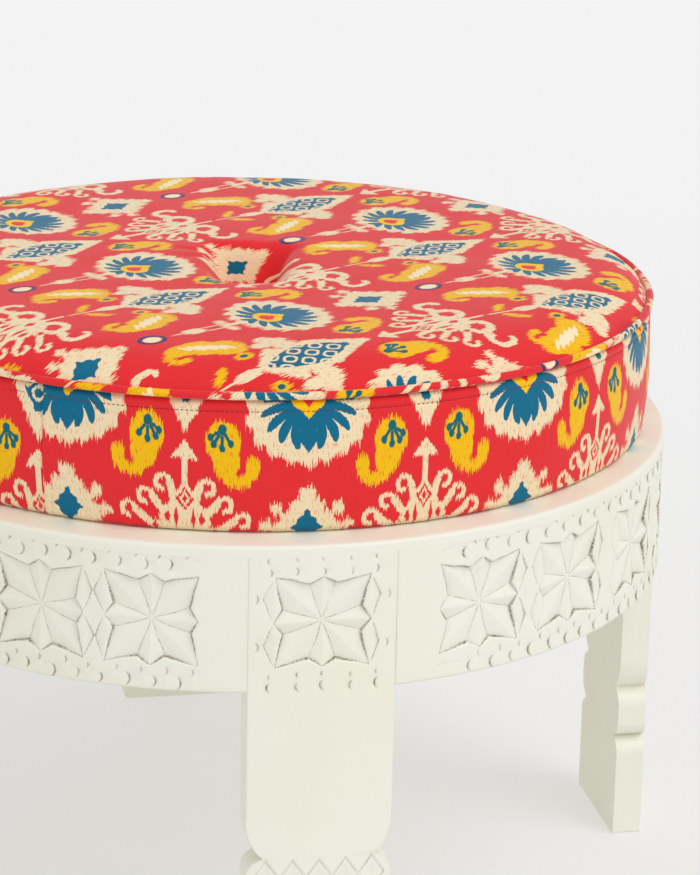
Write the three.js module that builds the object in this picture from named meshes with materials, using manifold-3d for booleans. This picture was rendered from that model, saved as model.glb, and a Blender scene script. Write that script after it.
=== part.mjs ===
// A round tuffet: a carved and painted wooden base that carries a loose, tufted box cushion.
// Millimetres, +Z up. The origin is on the floor, under the middle of the base.
// The legs stand on the -Y, +X, +Y and -X axes, and the apron panels fill the quarters between.
import * as THREE from 'three';
import { mergeVertices } from 'three/addons/utils/BufferGeometryUtils.js';
import Module from 'manifold-3d';

const wasm = await Module();
wasm.setup();

// Base
const baseRadius = 300;
const baseHeight = 330;
const apronDepth = 100;          // from the top of the base down to the apron's lower edge
const apronThickness = 22;
const topThickness = 12;
const topLip = 8;                // thickness of the rebated edge that lies on the legs and the apron
const topEdgeRound = 3;
const legCount = 4;
const legWidth = 97;
const legThickness = 21;         // at the leg's side edges, where it is thinnest
const seatGap = 0.3;             // clearance between pieces that touch
const mergeReach = 0.0001;       // corners closer than this are one corner

// Outline of a leg, with two notches that leave a band between them
const kneeHeight = 140;          // where the full width starts to round in
const waistHeight = 114.5;       // upper notch
const ankleHeight = 76;          // lower notch
const notchDepth = 11;
const bandShoulder = 13;         // height over which the band rounds out of each notch
const footShoulder = 12;
const shoulderSweep = 0.95;      // how far an edge turns, in radians, on its way into a notch
const legEdgeRound = 2.5;        // corners of the foot

// Carving
const rosettesPerPanel = 4;
const rosetteSize = 63;
const rosetteSides = 4;          // a rosette fills a square
const rosettePitch = 83.2;
const rosetteDrop = 51.5;        // from the top of the base to the middle of a rosette
const rosetteCentreDepth = 2.2;
const rosetteNotchDepth = 3;
const rosetteTipLift = 0.2;      // keeps a petal's point just clear of the surface
const kiteDepth = 1.8;
const kiteWidth = 7;             // from a rosette's side to the point of the kite beside it
const notchOutShare = 0.84;      // place of a notch between two petals, of half a rosette
const notchSideShare = 0.28;
const kiteLandShare = 0.86;      // what is left of a kite once its border is taken off
const wallLeanShare = 1.02;      // how far the wall round a rosette leans out
const bandDiamonds = 5;
const bandDiamondWidth = 17.6;
const bandDiamondHeight = 25;
const bandDiamondDrop = 14.5;    // from the upper notch to the middle of the diamonds
const cutOverrun = 4;            // how far a cutter stands out of what it cuts

// Blocks behind the legs, and the screws in them
const blockWidth = 150;
const blockHeight = 30;
const blockDepth = 24.5;
const screwLength = 38;
const screwRadius = 2;
const screwHeadRadius = 4;
const screwHeadHeight = 3;
const screwTipLength = 6;
const screwSink = 0.5;           // how far a screw's head lies below the wood
const legScrewSpacing = 56;
const topScrewInset = 19;        // from the end of a block to the screw up into the top

// Cushion
const cushionShiftX = 3.5;       // the loose cushion lies a little off the middle
const cushionShiftY = 8.2;
const cushionInset = 15.3;       // from the base's edge to the seam round the cushion's top
const boxingTaper = 1.5;         // how far the cushion draws in from that seam to its foot
const boxingHeight = 88.6;
const boxingBulge = 2.5;
const weltThickness = 6;
const crownRise = 21;
const crownPower = 16;           // a high power keeps the crown flat and its shoulder tight
const coverThickness = 1.2;
const tuftDepth = 38;
const tuftFloorRadius = 12;
const tuftSpread = 12;
const buttonRadius = 13;
const buttonHeight = 8;
const buttonEdge = 2.5;
const anchorRadius = 10;
const anchorThickness = 3;
const anchorRecess = 6;
const anchorSpread = 18;
const twineRadius = 1;
const twineHoleRadius = 2.2;
const cushionRest = 0.3;         // clearance between the cushion and the base

// Fineness of the round surfaces
const baseSegments = 72;
const legFaceSegments = 144;     // of the cylinder that rounds the legs' faces
const panelArcSteps = 12;
const cushionSegments = 40;
const weltSides = 6;
const screwSides = 8;
const notchSteps = 3;
const roundSteps = 3;
const boxingSteps = 4;

// Heights and radii that follow
const cushionRadius = baseRadius - cushionInset;
const cushionFootRadius = cushionRadius - boxingTaper;
const topUnderside = baseHeight - topThickness;
const lipUnderside = baseHeight - topLip;
const frameTop = lipUnderside - seatGap;
const apronBottom = baseHeight - apronDepth;
const apronInnerRadius = baseRadius - apronThickness;
const legHalf = legWidth / 2;
const legInner = Math.sqrt(baseRadius ** 2 - legHalf ** 2) - legThickness;
const rosetteHeight = baseHeight - rosetteDrop;
const quarter = Math.PI / 2;

const paintedWood = { color: 0xedeee2, roughness: 0.5, metalness: 0 };
const bareWood = { color: 0xb08a5c, roughness: 0.75, metalness: 0 };
const screwSteel = { color: 0xb9b3a2, roughness: 0.35, metalness: 1 };
const printedCotton = { color: 0xe4323c, roughness: 0.85, metalness: 0 };
const foam = { color: 0xf0e6b8, roughness: 0.95, metalness: 0 };
const twineFibre = { color: 0xe8dcc0, roughness: 0.9, metalness: 0 };

// Geometry helpers

// Shared vertices are merged and triangles without area are dropped.
function closedGeometry(geometry) {
  const bare = geometry.clone();
  bare.deleteAttribute('normal');
  bare.deleteAttribute('uv');
  const merged = mergeVertices(bare, mergeReach);
  const kept = [];
  const index = merged.index.array;
  for (let i = 0; i < index.length; i += 3) {
    const [a, b, c] = [index[i], index[i + 1], index[i + 2]];
    if (a !== b && b !== c && c !== a) kept.push(a, b, c);
  }
  merged.setIndex(kept);
  return merged;
}

function solidOf(geometry) {
  const closed = closedGeometry(geometry);
  return new wasm.Manifold(new wasm.Mesh({
    numProp: 3,
    vertProperties: new Float32Array(closed.attributes.position.array),
    triVerts: new Uint32Array(closed.index.array),
  }));
}

function geometryOf(solid) {
  const mesh = solid.getMesh();
  const geometry = new THREE.BufferGeometry();
  geometry.setAttribute('position', new THREE.BufferAttribute(new Float32Array(mesh.vertProperties), 3));
  geometry.setIndex(Array.from(mesh.triVerts));
  return geometry;
}

function cutBy(geometry, cutters) {
  let solid = solidOf(geometry);
  for (const cutter of cutters) solid = solid.subtract(solidOf(cutter));
  return geometryOf(solid);
}

// A profile of [radius, height] pairs, turned round the Z axis.
function turned(profile, segments) {
  const points = profile.map(([radius, height]) => new THREE.Vector2(radius, height));
  return new THREE.LatheGeometry(points, segments).rotateX(quarter);
}

// An outline in X and Y, raised from one height to another.
function raised(shape, low, high, steps) {
  const geometry = new THREE.ExtrudeGeometry(shape, {
    depth: high - low, bevelEnabled: false, curveSegments: steps,
  });
  return geometry.translate(0, 0, low);
}

// A corner's arc as [across, up] pairs, from one angle to another.
function arcPairs(across, up, radius, from, to, steps) {
  return Array.from({ length: steps + 1 }, (_, i) => {
    const angle = from + (to - from) * i / steps;
    return [across + radius * Math.cos(angle), up + radius * Math.sin(angle)];
  });
}

// Moves an open profile sideways by a distance, to the left of its direction.
function offsetProfile(profile, distance) {
  return profile.map(([across, up], i) => {
    const before = profile[Math.max(i - 1, 0)];
    const after = profile[Math.min(i + 1, profile.length - 1)];
    const run = [after[0] - before[0], after[1] - before[1]];
    const length = Math.hypot(...run);
    return [across - run[1] / length * distance, up + run[0] / length * distance];
  });
}

function named(name, geometry, finish) {
  const mesh = new THREE.Mesh(geometry, new THREE.MeshStandardMaterial(finish));
  mesh.name = name;
  return mesh;
}

// Base: the top board

function topBoard() {
  const seatRadius = legInner - seatGap;
  const edge = arcPairs(baseRadius - topEdgeRound, baseHeight - topEdgeRound, topEdgeRound,
    0, quarter, roundSteps);
  return turned([
    [0, topUnderside],
    [seatRadius, topUnderside],
    [seatRadius, lipUnderside],
    [baseRadius, lipUnderside],
    ...edge,
    [0, baseHeight],
  ], baseSegments);
}

// Carving: cutters are drawn flat, as [along, up, out], and wrapped round the base's face.
// Wrapped, the middle of the drawing faces -Y.

function wrapped(points, faces) {
  const positions = points.flatMap(([along, up, out]) => {
    const angle = along / baseRadius;
    const radius = baseRadius + out;
    return [radius * Math.sin(angle), -radius * Math.cos(angle), up];
  });
  const geometry = new THREE.BufferGeometry();
  geometry.setAttribute('position', new THREE.Float32BufferAttribute(positions, 3));
  geometry.setIndex(faces.flat());
  return geometry;
}

// The outline of a rosette: points of the petals and the notches between them, by turns.
function rosetteOutline() {
  const half = rosetteSize / 2;
  const side = [
    { at: [half, 0], tip: true },
    { at: [half * notchOutShare, half * notchSideShare], tip: false },
    { at: [half, half], tip: true },
    { at: [half * notchSideShare, half * notchOutShare], tip: false },
  ];
  return Array.from({ length: rosetteSides }, (_, turn) => side.map(({ at: [x, y], tip }) => {
    const [cos, sin] = [Math.round(Math.cos(turn * quarter)), Math.round(Math.sin(turn * quarter))];
    return { at: [x * cos - y * sin, x * sin + y * cos], tip };
  })).flat();
}

// Eight petals fold down from their ridges to the valleys between them.
function rosetteCutter(along, up) {
  const outline = rosetteOutline();
  const count = outline.length;
  const points = [[along, up, -rosetteCentreDepth], [along, up, cutOverrun]];
  for (const { at: [x, y], tip } of outline) {
    const lean = tip ? 1 : wallLeanShare;
    points.push([along + x, up + y, tip ? rosetteTipLift : -rosetteNotchDepth]);
    points.push([along + x * lean, up + y * lean, cutOverrun]);
  }
  const faces = [];
  for (let i = 0; i < count; i += 1) {
    const [low, high] = [2 + 2 * i, 3 + 2 * i];
    const [nextLow, nextHigh] = [2 + 2 * ((i + 1) % count), 3 + 2 * ((i + 1) % count)];
    faces.push([0, nextLow, low], [1, high, nextHigh], [low, nextLow, nextHigh], [low, nextHigh, high]);
  }
  return wrapped(points, faces);
}

// A shallow four-sided hollow inside an outline of four corners.
function hollowCutter(corners) {
  const mean = (axis) => corners.reduce((sum, corner) => sum + corner[axis], 0) / corners.length;
  const middle = [mean(0), mean(1)];
  const points = [[...middle, -kiteDepth], [...middle, cutOverrun]];
  for (const corner of corners) {
    const inset = corner.map((value, axis) => middle[axis] + (value - middle[axis]) * kiteLandShare);
    points.push([...inset, rosetteTipLift], [...inset, cutOverrun]);
  }
  const faces = [];
  const count = corners.length;
  for (let i = 0; i < count; i += 1) {
    const [low, high] = [2 + 2 * i, 3 + 2 * i];
    const [nextLow, nextHigh] = [2 + 2 * ((i + 1) % count), 3 + 2 * ((i + 1) % count)];
    faces.push([0, nextLow, low], [1, high, nextHigh], [low, nextLow, nextHigh], [low, nextHigh, high]);
  }
  return wrapped(points, faces);
}

// The two kites beside a rosette, on the side that the sign gives.
function sideKites(along, up, sign) {
  const half = rosetteSize / 2;
  return [1, -1].map((rise) => {
    const corners = [
      [along + sign * half, up],
      [along + sign * (half + kiteWidth), up + rise * half / 2],
      [along + sign * half, up + rise * half],
      [along + sign * half * notchOutShare, up + rise * half * notchSideShare],
    ];
    return hollowCutter(sign * rise > 0 ? corners : corners.reverse());
  });
}

function diamond(along, up, width, height) {
  return hollowCutter([
    [along + width / 2, up], [along, up + height / 2], [along - width / 2, up], [along, up - height / 2],
  ]);
}

// Base: one apron panel, built facing -Y

function apronPanel() {
  const endGap = legHalf + seatGap;
  const outerHalf = quarter / 2 - Math.asin(endGap / baseRadius);
  const innerHalf = quarter / 2 - Math.asin(endGap / apronInnerRadius);
  const plan = new THREE.Shape();
  plan.absarc(0, 0, baseRadius, -quarter - outerHalf, -quarter + outerHalf, false);
  plan.absarc(0, 0, apronInnerRadius, -quarter + innerHalf, -quarter - innerHalf, true);
  plan.closePath();
  const cutters = [];
  const first = -(rosettesPerPanel - 1) * rosettePitch / 2;
  const betweenRosettes = rosettePitch - rosetteSize;
  for (let i = 0; i < rosettesPerPanel; i += 1) {
    const along = first + i * rosettePitch;
    cutters.push(rosetteCutter(along, rosetteHeight));
    if (i > 0) {
      cutters.push(...sideKites(along, rosetteHeight, -1));
      cutters.push(diamond(along - rosettePitch / 2, rosetteHeight, betweenRosettes, rosetteSize / 2));
    }
    if (i < rosettesPerPanel - 1) cutters.push(...sideKites(along, rosetteHeight, 1));
  }
  return cutBy(raised(plan, apronBottom, frameTop, panelArcSteps), cutters);
}

// Base: one leg, built facing -Y

// Right half of the leg's outline as [across, up], from the floor to the top.
function legOutline() {
  const notch = legHalf - notchDepth;
  const shoulder = (side, point) => Array.from({ length: notchSteps + 1 }, (_, i) => {
    const angle = shoulderSweep * i / notchSteps;
    const across = (1 - Math.cos(angle)) / (1 - Math.cos(shoulderSweep));
    const up = Math.sin(angle) / Math.sin(shoulderSweep);
    return [legHalf + (notch - legHalf) * across, side + (point - side) * up];
  });
  return [
    ...arcPairs(legHalf - legEdgeRound, legEdgeRound, legEdgeRound, -quarter, 0, 1),
    ...shoulder(ankleHeight - footShoulder, ankleHeight),
    ...shoulder(ankleHeight + bandShoulder, ankleHeight).reverse().slice(1),
    ...shoulder(waistHeight - bandShoulder, waistHeight),
    ...shoulder(kneeHeight, waistHeight).reverse().slice(1),
    [legHalf, frameTop],
  ];
}

function legBoard() {
  const right = legOutline();
  const left = right.map(([across, up]) => [-across, up]).reverse();
  const outline = new THREE.Shape([...right, ...left].map(([x, y]) => new THREE.Vector2(x, y)));
  const reach = baseRadius + cutOverrun;
  const board = raised(outline, legInner, reach, 1).rotateX(quarter);
  const round = new THREE.CylinderGeometry(baseRadius, baseRadius, baseHeight, legFaceSegments)
    .rotateX(quarter).translate(0, 0, baseHeight / 2);
  const body = geometryOf(solidOf(board).intersect(solidOf(round)));
  const bandMiddle = waistHeight - bandDiamondDrop;
  const firstDiamond = -(bandDiamonds - 1) * bandDiamondWidth / 2;
  const cutters = [
    rosetteCutter(0, rosetteHeight),
    ...sideKites(0, rosetteHeight, 1),
    ...sideKites(0, rosetteHeight, -1),
  ];
  for (let i = 0; i < bandDiamonds; i += 1) {
    const along = firstDiamond + i * bandDiamondWidth;
    cutters.push(diamond(along, bandMiddle, bandDiamondWidth, bandDiamondHeight));
  }
  return cutBy(body, cutters.concat(screwHoles(legScrewPlaces())));
}

// Base: the block behind a leg and its screws, built facing -Y

// A countersunk screw that points along +Z, with its head's top at zero.
function screwProfile(clearance, headRise) {
  const shank = screwRadius + clearance;
  const head = screwHeadRadius + clearance;
  return [
    [0, -headRise],
    [head, -headRise],
    [head, 0],
    [shank, screwHeadHeight + clearance],
    [shank, screwLength - screwTipLength],
    [0, screwLength + clearance],
  ];
}

function screwBody() {
  const profile = screwProfile(0, 0);
  profile.splice(1, 1);
  return turned(profile, screwSides);
}

function screwHole() {
  return turned(screwProfile(seatGap, screwSink + cutOverrun), screwSides);
}

function screwHoles(places) {
  return places.map(({ matrix }) => screwHole().applyMatrix4(matrix));
}

function legScrewPlaces() {
  const height = topUnderside - blockHeight / 2;
  return [-1, 1].map((side) => ({
    label: side < 0 ? 'leg_left' : 'leg_right',
    matrix: new THREE.Matrix4()
      .makeTranslation(side * legScrewSpacing / 2, screwSink + blockDepth - legInner, height)
      .multiply(new THREE.Matrix4().makeRotationX(quarter)),
  }));
}

function topScrewPlaces() {
  const low = topUnderside - seatGap - blockHeight + screwSink;
  return [-1, 1].map((side) => ({
    label: side < 0 ? 'top_left' : 'top_right',
    matrix: new THREE.Matrix4().makeTranslation(
      side * (blockWidth / 2 - topScrewInset), blockDepth / 2 - legInner, low),
  }));
}

function legBlock() {
  const innerFace = blockDepth - legInner;
  const legFace = seatGap - legInner;
  const round = apronInnerRadius - seatGap;
  const step = legHalf - seatGap;
  const end = Math.asin(blockWidth / 2 / round);
  const start = Math.asin(legHalf / round);
  const plan = new THREE.Shape();
  plan.moveTo(-blockWidth / 2, innerFace);
  plan.absarc(0, 0, round, -quarter - end, -quarter - start, false);
  plan.lineTo(-step, -round * Math.cos(start));
  plan.lineTo(-step, legFace);
  plan.lineTo(step, legFace);
  plan.lineTo(step, -round * Math.cos(start));
  plan.absarc(0, 0, round, -quarter + start, -quarter + end, false);
  plan.lineTo(blockWidth / 2, innerFace);
  plan.closePath();
  const top = topUnderside - seatGap;
  const holes = screwHoles([...legScrewPlaces(), ...topScrewPlaces()]);
  return cutBy(raised(plan, top - blockHeight, top, 1), holes);
}

function topBoardDrilled() {
  const holes = [];
  for (let leg = 0; leg < legCount; leg += 1) {
    const turn = new THREE.Matrix4().makeRotationZ(leg * quarter);
    holes.push(...screwHoles(topScrewPlaces()).map((hole) => hole.applyMatrix4(turn)));
  }
  return cutBy(topBoard(), holes);
}

// Cushion: heights are above the top of the base

const weltHeight = boxingHeight + seatGap + weltThickness / 2;
const panelRadius = cushionRadius - weltThickness / 2 - seatGap;
const panelEdgeHeight = weltHeight + coverThickness / 2;
const tuftFloor = panelEdgeHeight + crownRise - tuftDepth;
const dip = (radius, floor, spread) => Math.exp(-((Math.max(radius - floor, 0) / spread) ** 2));

function crownHeight(radius) {
  const crown = crownRise * (1 - (radius / panelRadius) ** crownPower);
  return panelEdgeHeight + crown - tuftDepth * dip(radius, tuftFloorRadius, tuftSpread);
}

function undersideHeight(radius) {
  return cushionRest + anchorRecess * dip(radius, anchorRadius, anchorSpread);
}

function boxingRadius(height) {
  const share = height / boxingHeight;
  return cushionFootRadius + (cushionRadius - cushionFootRadius) * share
    + boxingBulge * Math.sin(Math.PI * share);
}

// Radii at which the crown is drawn, closer together at its shoulder and in the tuft.
const shoulderShares = [1, 0.985, 0.96, 0.93, 0.88, 0.8, 0.5];
const tuftShares = [2.3, 1.7, 1.25, 0.85, 0.45];
const crownRadii = [
  ...shoulderShares.map((share) => share * panelRadius),
  ...tuftShares.map((share) => tuftFloorRadius + share * tuftSpread),
  tuftFloorRadius,
  twineHoleRadius,
];
const undersideShares = [2, 1, 0.5];
const undersideRadii = [
  twineHoleRadius,
  anchorRadius,
  ...undersideShares.map((share) => anchorRadius + share * anchorSpread).reverse(),
];

// From the welt to the middle, along the top of the cover.
const crownProfile = crownRadii.map((radius) => [radius, crownHeight(radius)]);

function coverTop() {
  const inner = offsetProfile(crownProfile, coverThickness).reverse();
  inner[0][0] = twineHoleRadius;
  return turned([...crownProfile, ...inner, crownProfile[0]], cushionSegments);
}

function boxingProfile(inset, low, high) {
  return Array.from({ length: boxingSteps + 1 }, (_, i) => {
    const height = low + (high - low) * i / boxingSteps;
    return [boxingRadius(height) - inset, height];
  });
}

function coverBoxing() {
  const outer = boxingProfile(0, cushionRest, boxingHeight);
  const inner = boxingProfile(coverThickness, cushionRest, boxingHeight).reverse();
  return turned([...outer, ...inner, outer[0]], cushionSegments);
}

function coverBottom() {
  const edge = boxingRadius(cushionRest) - coverThickness - seatGap;
  const outer = [...undersideRadii, edge].map((radius) => [radius, undersideHeight(radius)]);
  const inner = outer.map(([radius, height]) => [radius, height + coverThickness]).reverse();
  return turned([...outer, ...inner, outer[0]], cushionSegments);
}

function foamCore() {
  const skin = coverThickness + seatGap;
  const foot = cushionRest + skin;
  const edge = boxingRadius(foot) - skin;
  const underside = [...undersideRadii, edge].map((radius) => [radius, undersideHeight(radius) + skin]);
  const side = boxingProfile(skin, foot, boxingHeight - weltThickness / 2).slice(1);
  const crown = offsetProfile(crownProfile, skin);
  crown[crown.length - 1][0] = twineHoleRadius;
  return turned([...underside, ...side, ...crown, underside[0]], cushionSegments);
}

function welt() {
  const ring = arcPairs(cushionRadius, weltHeight, weltThickness / 2, 0, 2 * Math.PI, weltSides);
  ring[ring.length - 1] = ring[0];
  return turned(ring, cushionSegments);
}

function tuftButton() {
  const low = tuftFloor + seatGap;
  const shoulder = arcPairs(0, low + buttonEdge, 1, 0, quarter, roundSteps + 1)
    .map(([across, up]) => [
      across * buttonRadius,
      low + buttonEdge + (up - low - buttonEdge) * (buttonHeight - buttonEdge),
    ]);
  shoulder[shoulder.length - 1][0] = 0;
  return turned([[0, low], [buttonRadius - buttonEdge / 2, low], ...shoulder], cushionSegments / 2);
}

function tuftAnchor() {
  const high = undersideHeight(0) - seatGap;
  return turned([
    [0, high - anchorThickness], [anchorRadius, high - anchorThickness], [anchorRadius, high], [0, high],
  ], cushionSegments / 2);
}

function twine() {
  const low = undersideHeight(0);
  const high = tuftFloor;
  return new THREE.CylinderGeometry(twineRadius, twineRadius, high - low, weltSides)
    .rotateX(quarter).translate(0, 0, (high + low) / 2);
}

// Assembly

const tuffet = new THREE.Group();
tuffet.name = 'tuffet';

const base = new THREE.Group();
tuffet.add(base);
base.add(named('top_board', topBoardDrilled(), paintedWood));

const legNames = ['front', 'right', 'back', 'left'];
const panelNames = ['front_right', 'back_right', 'back_left', 'front_left'];
const legGeometry = legBoard();
const panelGeometry = apronPanel();
const blockGeometry = legBlock();
for (let i = 0; i < legCount; i += 1) {
  const legCorner = new THREE.Group();
  legCorner.rotation.z = i * quarter;
  legCorner.add(named(`leg_${legNames[i]}`, legGeometry.clone(), paintedWood));
  legCorner.add(named(`block_${legNames[i]}`, blockGeometry.clone(), bareWood));
  for (const { label, matrix } of [...legScrewPlaces(), ...topScrewPlaces()]) {
    const screw = named(`screw_${legNames[i]}_${label}`, screwBody(), screwSteel);
    screw.applyMatrix4(matrix);
    legCorner.add(screw);
  }
  base.add(legCorner);
  const panel = named(`apron_${panelNames[i]}`, panelGeometry.clone(), paintedWood);
  panel.rotation.z = (i + 1 / 2) * quarter;
  base.add(panel);
}

const cushion = new THREE.Group();
cushion.position.set(cushionShiftX, cushionShiftY, baseHeight);
tuffet.add(cushion);
cushion.add(
  named('cushion_foam', foamCore(), foam),
  named('cushion_cover_top', coverTop(), printedCotton),
  named('cushion_cover_boxing', coverBoxing(), printedCotton),
  named('cushion_cover_bottom', coverBottom(), printedCotton),
  named('cushion_welt', welt(), printedCotton),
  named('tuft_button', tuftButton(), printedCotton),
  named('tuft_anchor', tuftAnchor(), bareWood),
  named('tuft_twine', twine(), twineFibre),
);

export default tuffet;
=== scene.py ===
import math
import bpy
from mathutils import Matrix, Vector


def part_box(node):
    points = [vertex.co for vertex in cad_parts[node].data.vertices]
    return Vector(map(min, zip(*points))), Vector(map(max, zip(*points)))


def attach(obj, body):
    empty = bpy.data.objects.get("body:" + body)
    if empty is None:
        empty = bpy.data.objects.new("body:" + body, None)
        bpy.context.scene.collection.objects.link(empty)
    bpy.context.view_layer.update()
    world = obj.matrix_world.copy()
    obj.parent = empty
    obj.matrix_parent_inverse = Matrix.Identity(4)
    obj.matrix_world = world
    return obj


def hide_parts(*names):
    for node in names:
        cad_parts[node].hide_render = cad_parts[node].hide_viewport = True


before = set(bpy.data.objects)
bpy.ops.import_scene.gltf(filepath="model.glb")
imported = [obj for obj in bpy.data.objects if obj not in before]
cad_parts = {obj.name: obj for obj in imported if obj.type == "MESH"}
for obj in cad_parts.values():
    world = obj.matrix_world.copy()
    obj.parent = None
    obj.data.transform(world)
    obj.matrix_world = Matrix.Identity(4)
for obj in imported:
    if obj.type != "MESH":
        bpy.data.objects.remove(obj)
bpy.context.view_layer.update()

from types import SimpleNamespace

import bpy
import numpy as np
from mathutils import Matrix, Vector

mm = 0.001
near = 0.01 * mm         # places closer than this are level with each other


# Small helpers

def linear(red, green, blue):
    # from a colour as a screen shows it, 0 to 255
    parts = [c / 255 for c in (red, green, blue)]
    return tuple(c / 12.92 if c <= 0.04045 else ((c + 0.055) / 1.055) ** 2.4 for c in parts) + (1,)


def only(piece):
    bpy.ops.object.select_all(action="DESELECT")
    piece.select_set(True)
    bpy.context.view_layer.objects.active = piece


def added(name, make, **values):
    # runs an operator that adds an object, and names what it added
    bpy.ops.object.select_all(action="DESELECT")
    make(**values)
    piece = bpy.context.active_object
    piece.name = name
    piece.data.name = name
    return piece


def readAll(rows, key, wide=1, kind=float):
    found = np.zeros(len(rows) * wide, kind)
    rows.foreach_get(key, found)
    return found.reshape(-1, wide) if wide > 1 else found


def pointsOf(piece):
    return readAll(piece.data.vertices, "co", 3)


def cornerPoints(piece):
    return readAll(piece.data.loops, "vertex_index", kind=int)


def cornerFaces(piece):
    counts = readAll(piece.data.polygons, "loop_total", kind=int)
    return np.repeat(np.arange(len(counts)), counts)


def movePoints(piece, places):
    piece.data.vertices.foreach_set("co", np.asarray(places, np.float32).ravel())
    piece.data.update()


def placesAt(radius, azimuth, height, x=0, y=0):
    # an azimuth starts at the front and runs to the right
    return np.stack([x + radius * np.sin(azimuth), y - radius * np.cos(azimuth), height], -1)


def azimuthOf(points):
    return np.arctan2(points[:, 0], -points[:, 1])


def writeFloats(piece, name, values):
    spot = piece.data.attributes.get(name) or piece.data.attributes.new(name, "FLOAT", "POINT")
    spot.data.foreach_set("value", np.asarray(values, np.float32))


def writeMap(piece, name, across, up):
    # one place on the cloth or board for each corner of each face
    layer = piece.data.uv_layers.get(name) or piece.data.uv_layers.new(name=name)
    layer.data.foreach_set("uv", np.stack([across, up], -1).astype(np.float32).ravel())


def selectEdges(piece, wanted):
    # wanted takes the two ends of every edge and says which edges are picked
    mesh = piece.data
    ends = readAll(mesh.edges, "vertices", 2, int)
    places = pointsOf(piece)
    picked = wanted(places[ends[:, 0]], places[ends[:, 1]], ends)
    mesh.polygons.foreach_set("select", np.zeros(len(mesh.polygons), bool))
    mesh.edges.foreach_set("select", picked)
    corners = np.zeros(len(mesh.vertices), bool)
    corners[ends[picked].ravel()] = True
    mesh.vertices.foreach_set("select", corners)


def selectBorder(piece, wanted):
    # the same, for edges with one face only
    owners = readAll(piece.data.loops, "edge_index", kind=int)
    single = np.bincount(owners, minlength=len(piece.data.edges)) == 1
    selectEdges(piece, lambda a, b, ends: single & wanted(a, b, ends))


def inEdit(piece, *actions, kind="EDGE"):
    only(piece)
    bpy.ops.object.mode_set(mode="EDIT")
    bpy.ops.mesh.select_mode(type=kind)
    for action in actions:
        action()
    bpy.ops.object.mode_set(mode="OBJECT")


def outward():
    bpy.ops.mesh.select_all(action="SELECT")
    bpy.ops.mesh.normals_make_consistent(inside=False)


def coat(piece, finish, degrees):
    # edges that turn less than this many degrees are shaded smooth
    only(piece)
    bpy.ops.object.shade_smooth_by_angle(angle=math.radians(degrees))
    piece.data.materials.clear()
    piece.data.materials.append(finishes[finish])


def bell(distance, width, power=2):
    # one at no distance, and nearly nothing past twice the width
    return np.exp(-(distance / width) ** power)


def softNoise(across, up, size, seed):
    # smooth random bumps from -1 to 1, about one size apart
    cells = 64
    table = np.random.default_rng(seed).uniform(-1, 1, (cells, cells))
    a, b = across / size, up / size
    i, j = np.floor(a).astype(int), np.floor(b).astype(int)
    fa, fb = a - i, b - j
    fa, fb = fa * fa * (3 - 2 * fa), fb * fb * (3 - 2 * fb)

    def row(k):
        return table[i % cells, k % cells] * (1 - fa) + table[(i + 1) % cells, k % cells] * fa

    return row(j) * (1 - fb) + row(j + 1) * fb


def blurred(field, reach):
    # soft average over a grid, reach in cells
    span = int(math.ceil(3 * reach))
    weights = np.exp(-0.5 * (np.arange(-span, span + 1) / reach) ** 2)
    weights /= weights.sum()
    for axis in (0, 1):
        padded = np.pad(field, [(span, span) if axis == k else (0, 0) for k in (0, 1)], mode="edge")
        field = np.apply_along_axis(lambda line: np.convolve(line, weights, mode="valid"), axis, padded)
    return field


# Shader helpers

def operator(operation):
    # the plain and the reflected form, so that 1 - wire works too
    def plain(self, other):
        return self.finish.math(operation, self, other)

    def reflected(self, other):
        return self.finish.math(operation, other, self)

    return plain, reflected


class Wire:
    # a value in a material; sums of wires become Math nodes
    __add__, __radd__ = operator("ADD")
    __sub__, __rsub__ = operator("SUBTRACT")
    __mul__, __rmul__ = operator("MULTIPLY")
    __pow__, __rpow__ = operator("POWER")
    least = operator("MINIMUM")[0]
    most = operator("MAXIMUM")[0]

    def __init__(self, finish, socket):
        self.finish, self.socket = finish, socket

    def __abs__(self):
        return self.finish.math("ABSOLUTE", self)

    def cyclic(self, size):
        # runs from minus half a size to half a size, over and over
        return self.finish.math("WRAP", self, size / 2, -size / 2)

    def held(self):
        return self.most(0).least(1)


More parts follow.
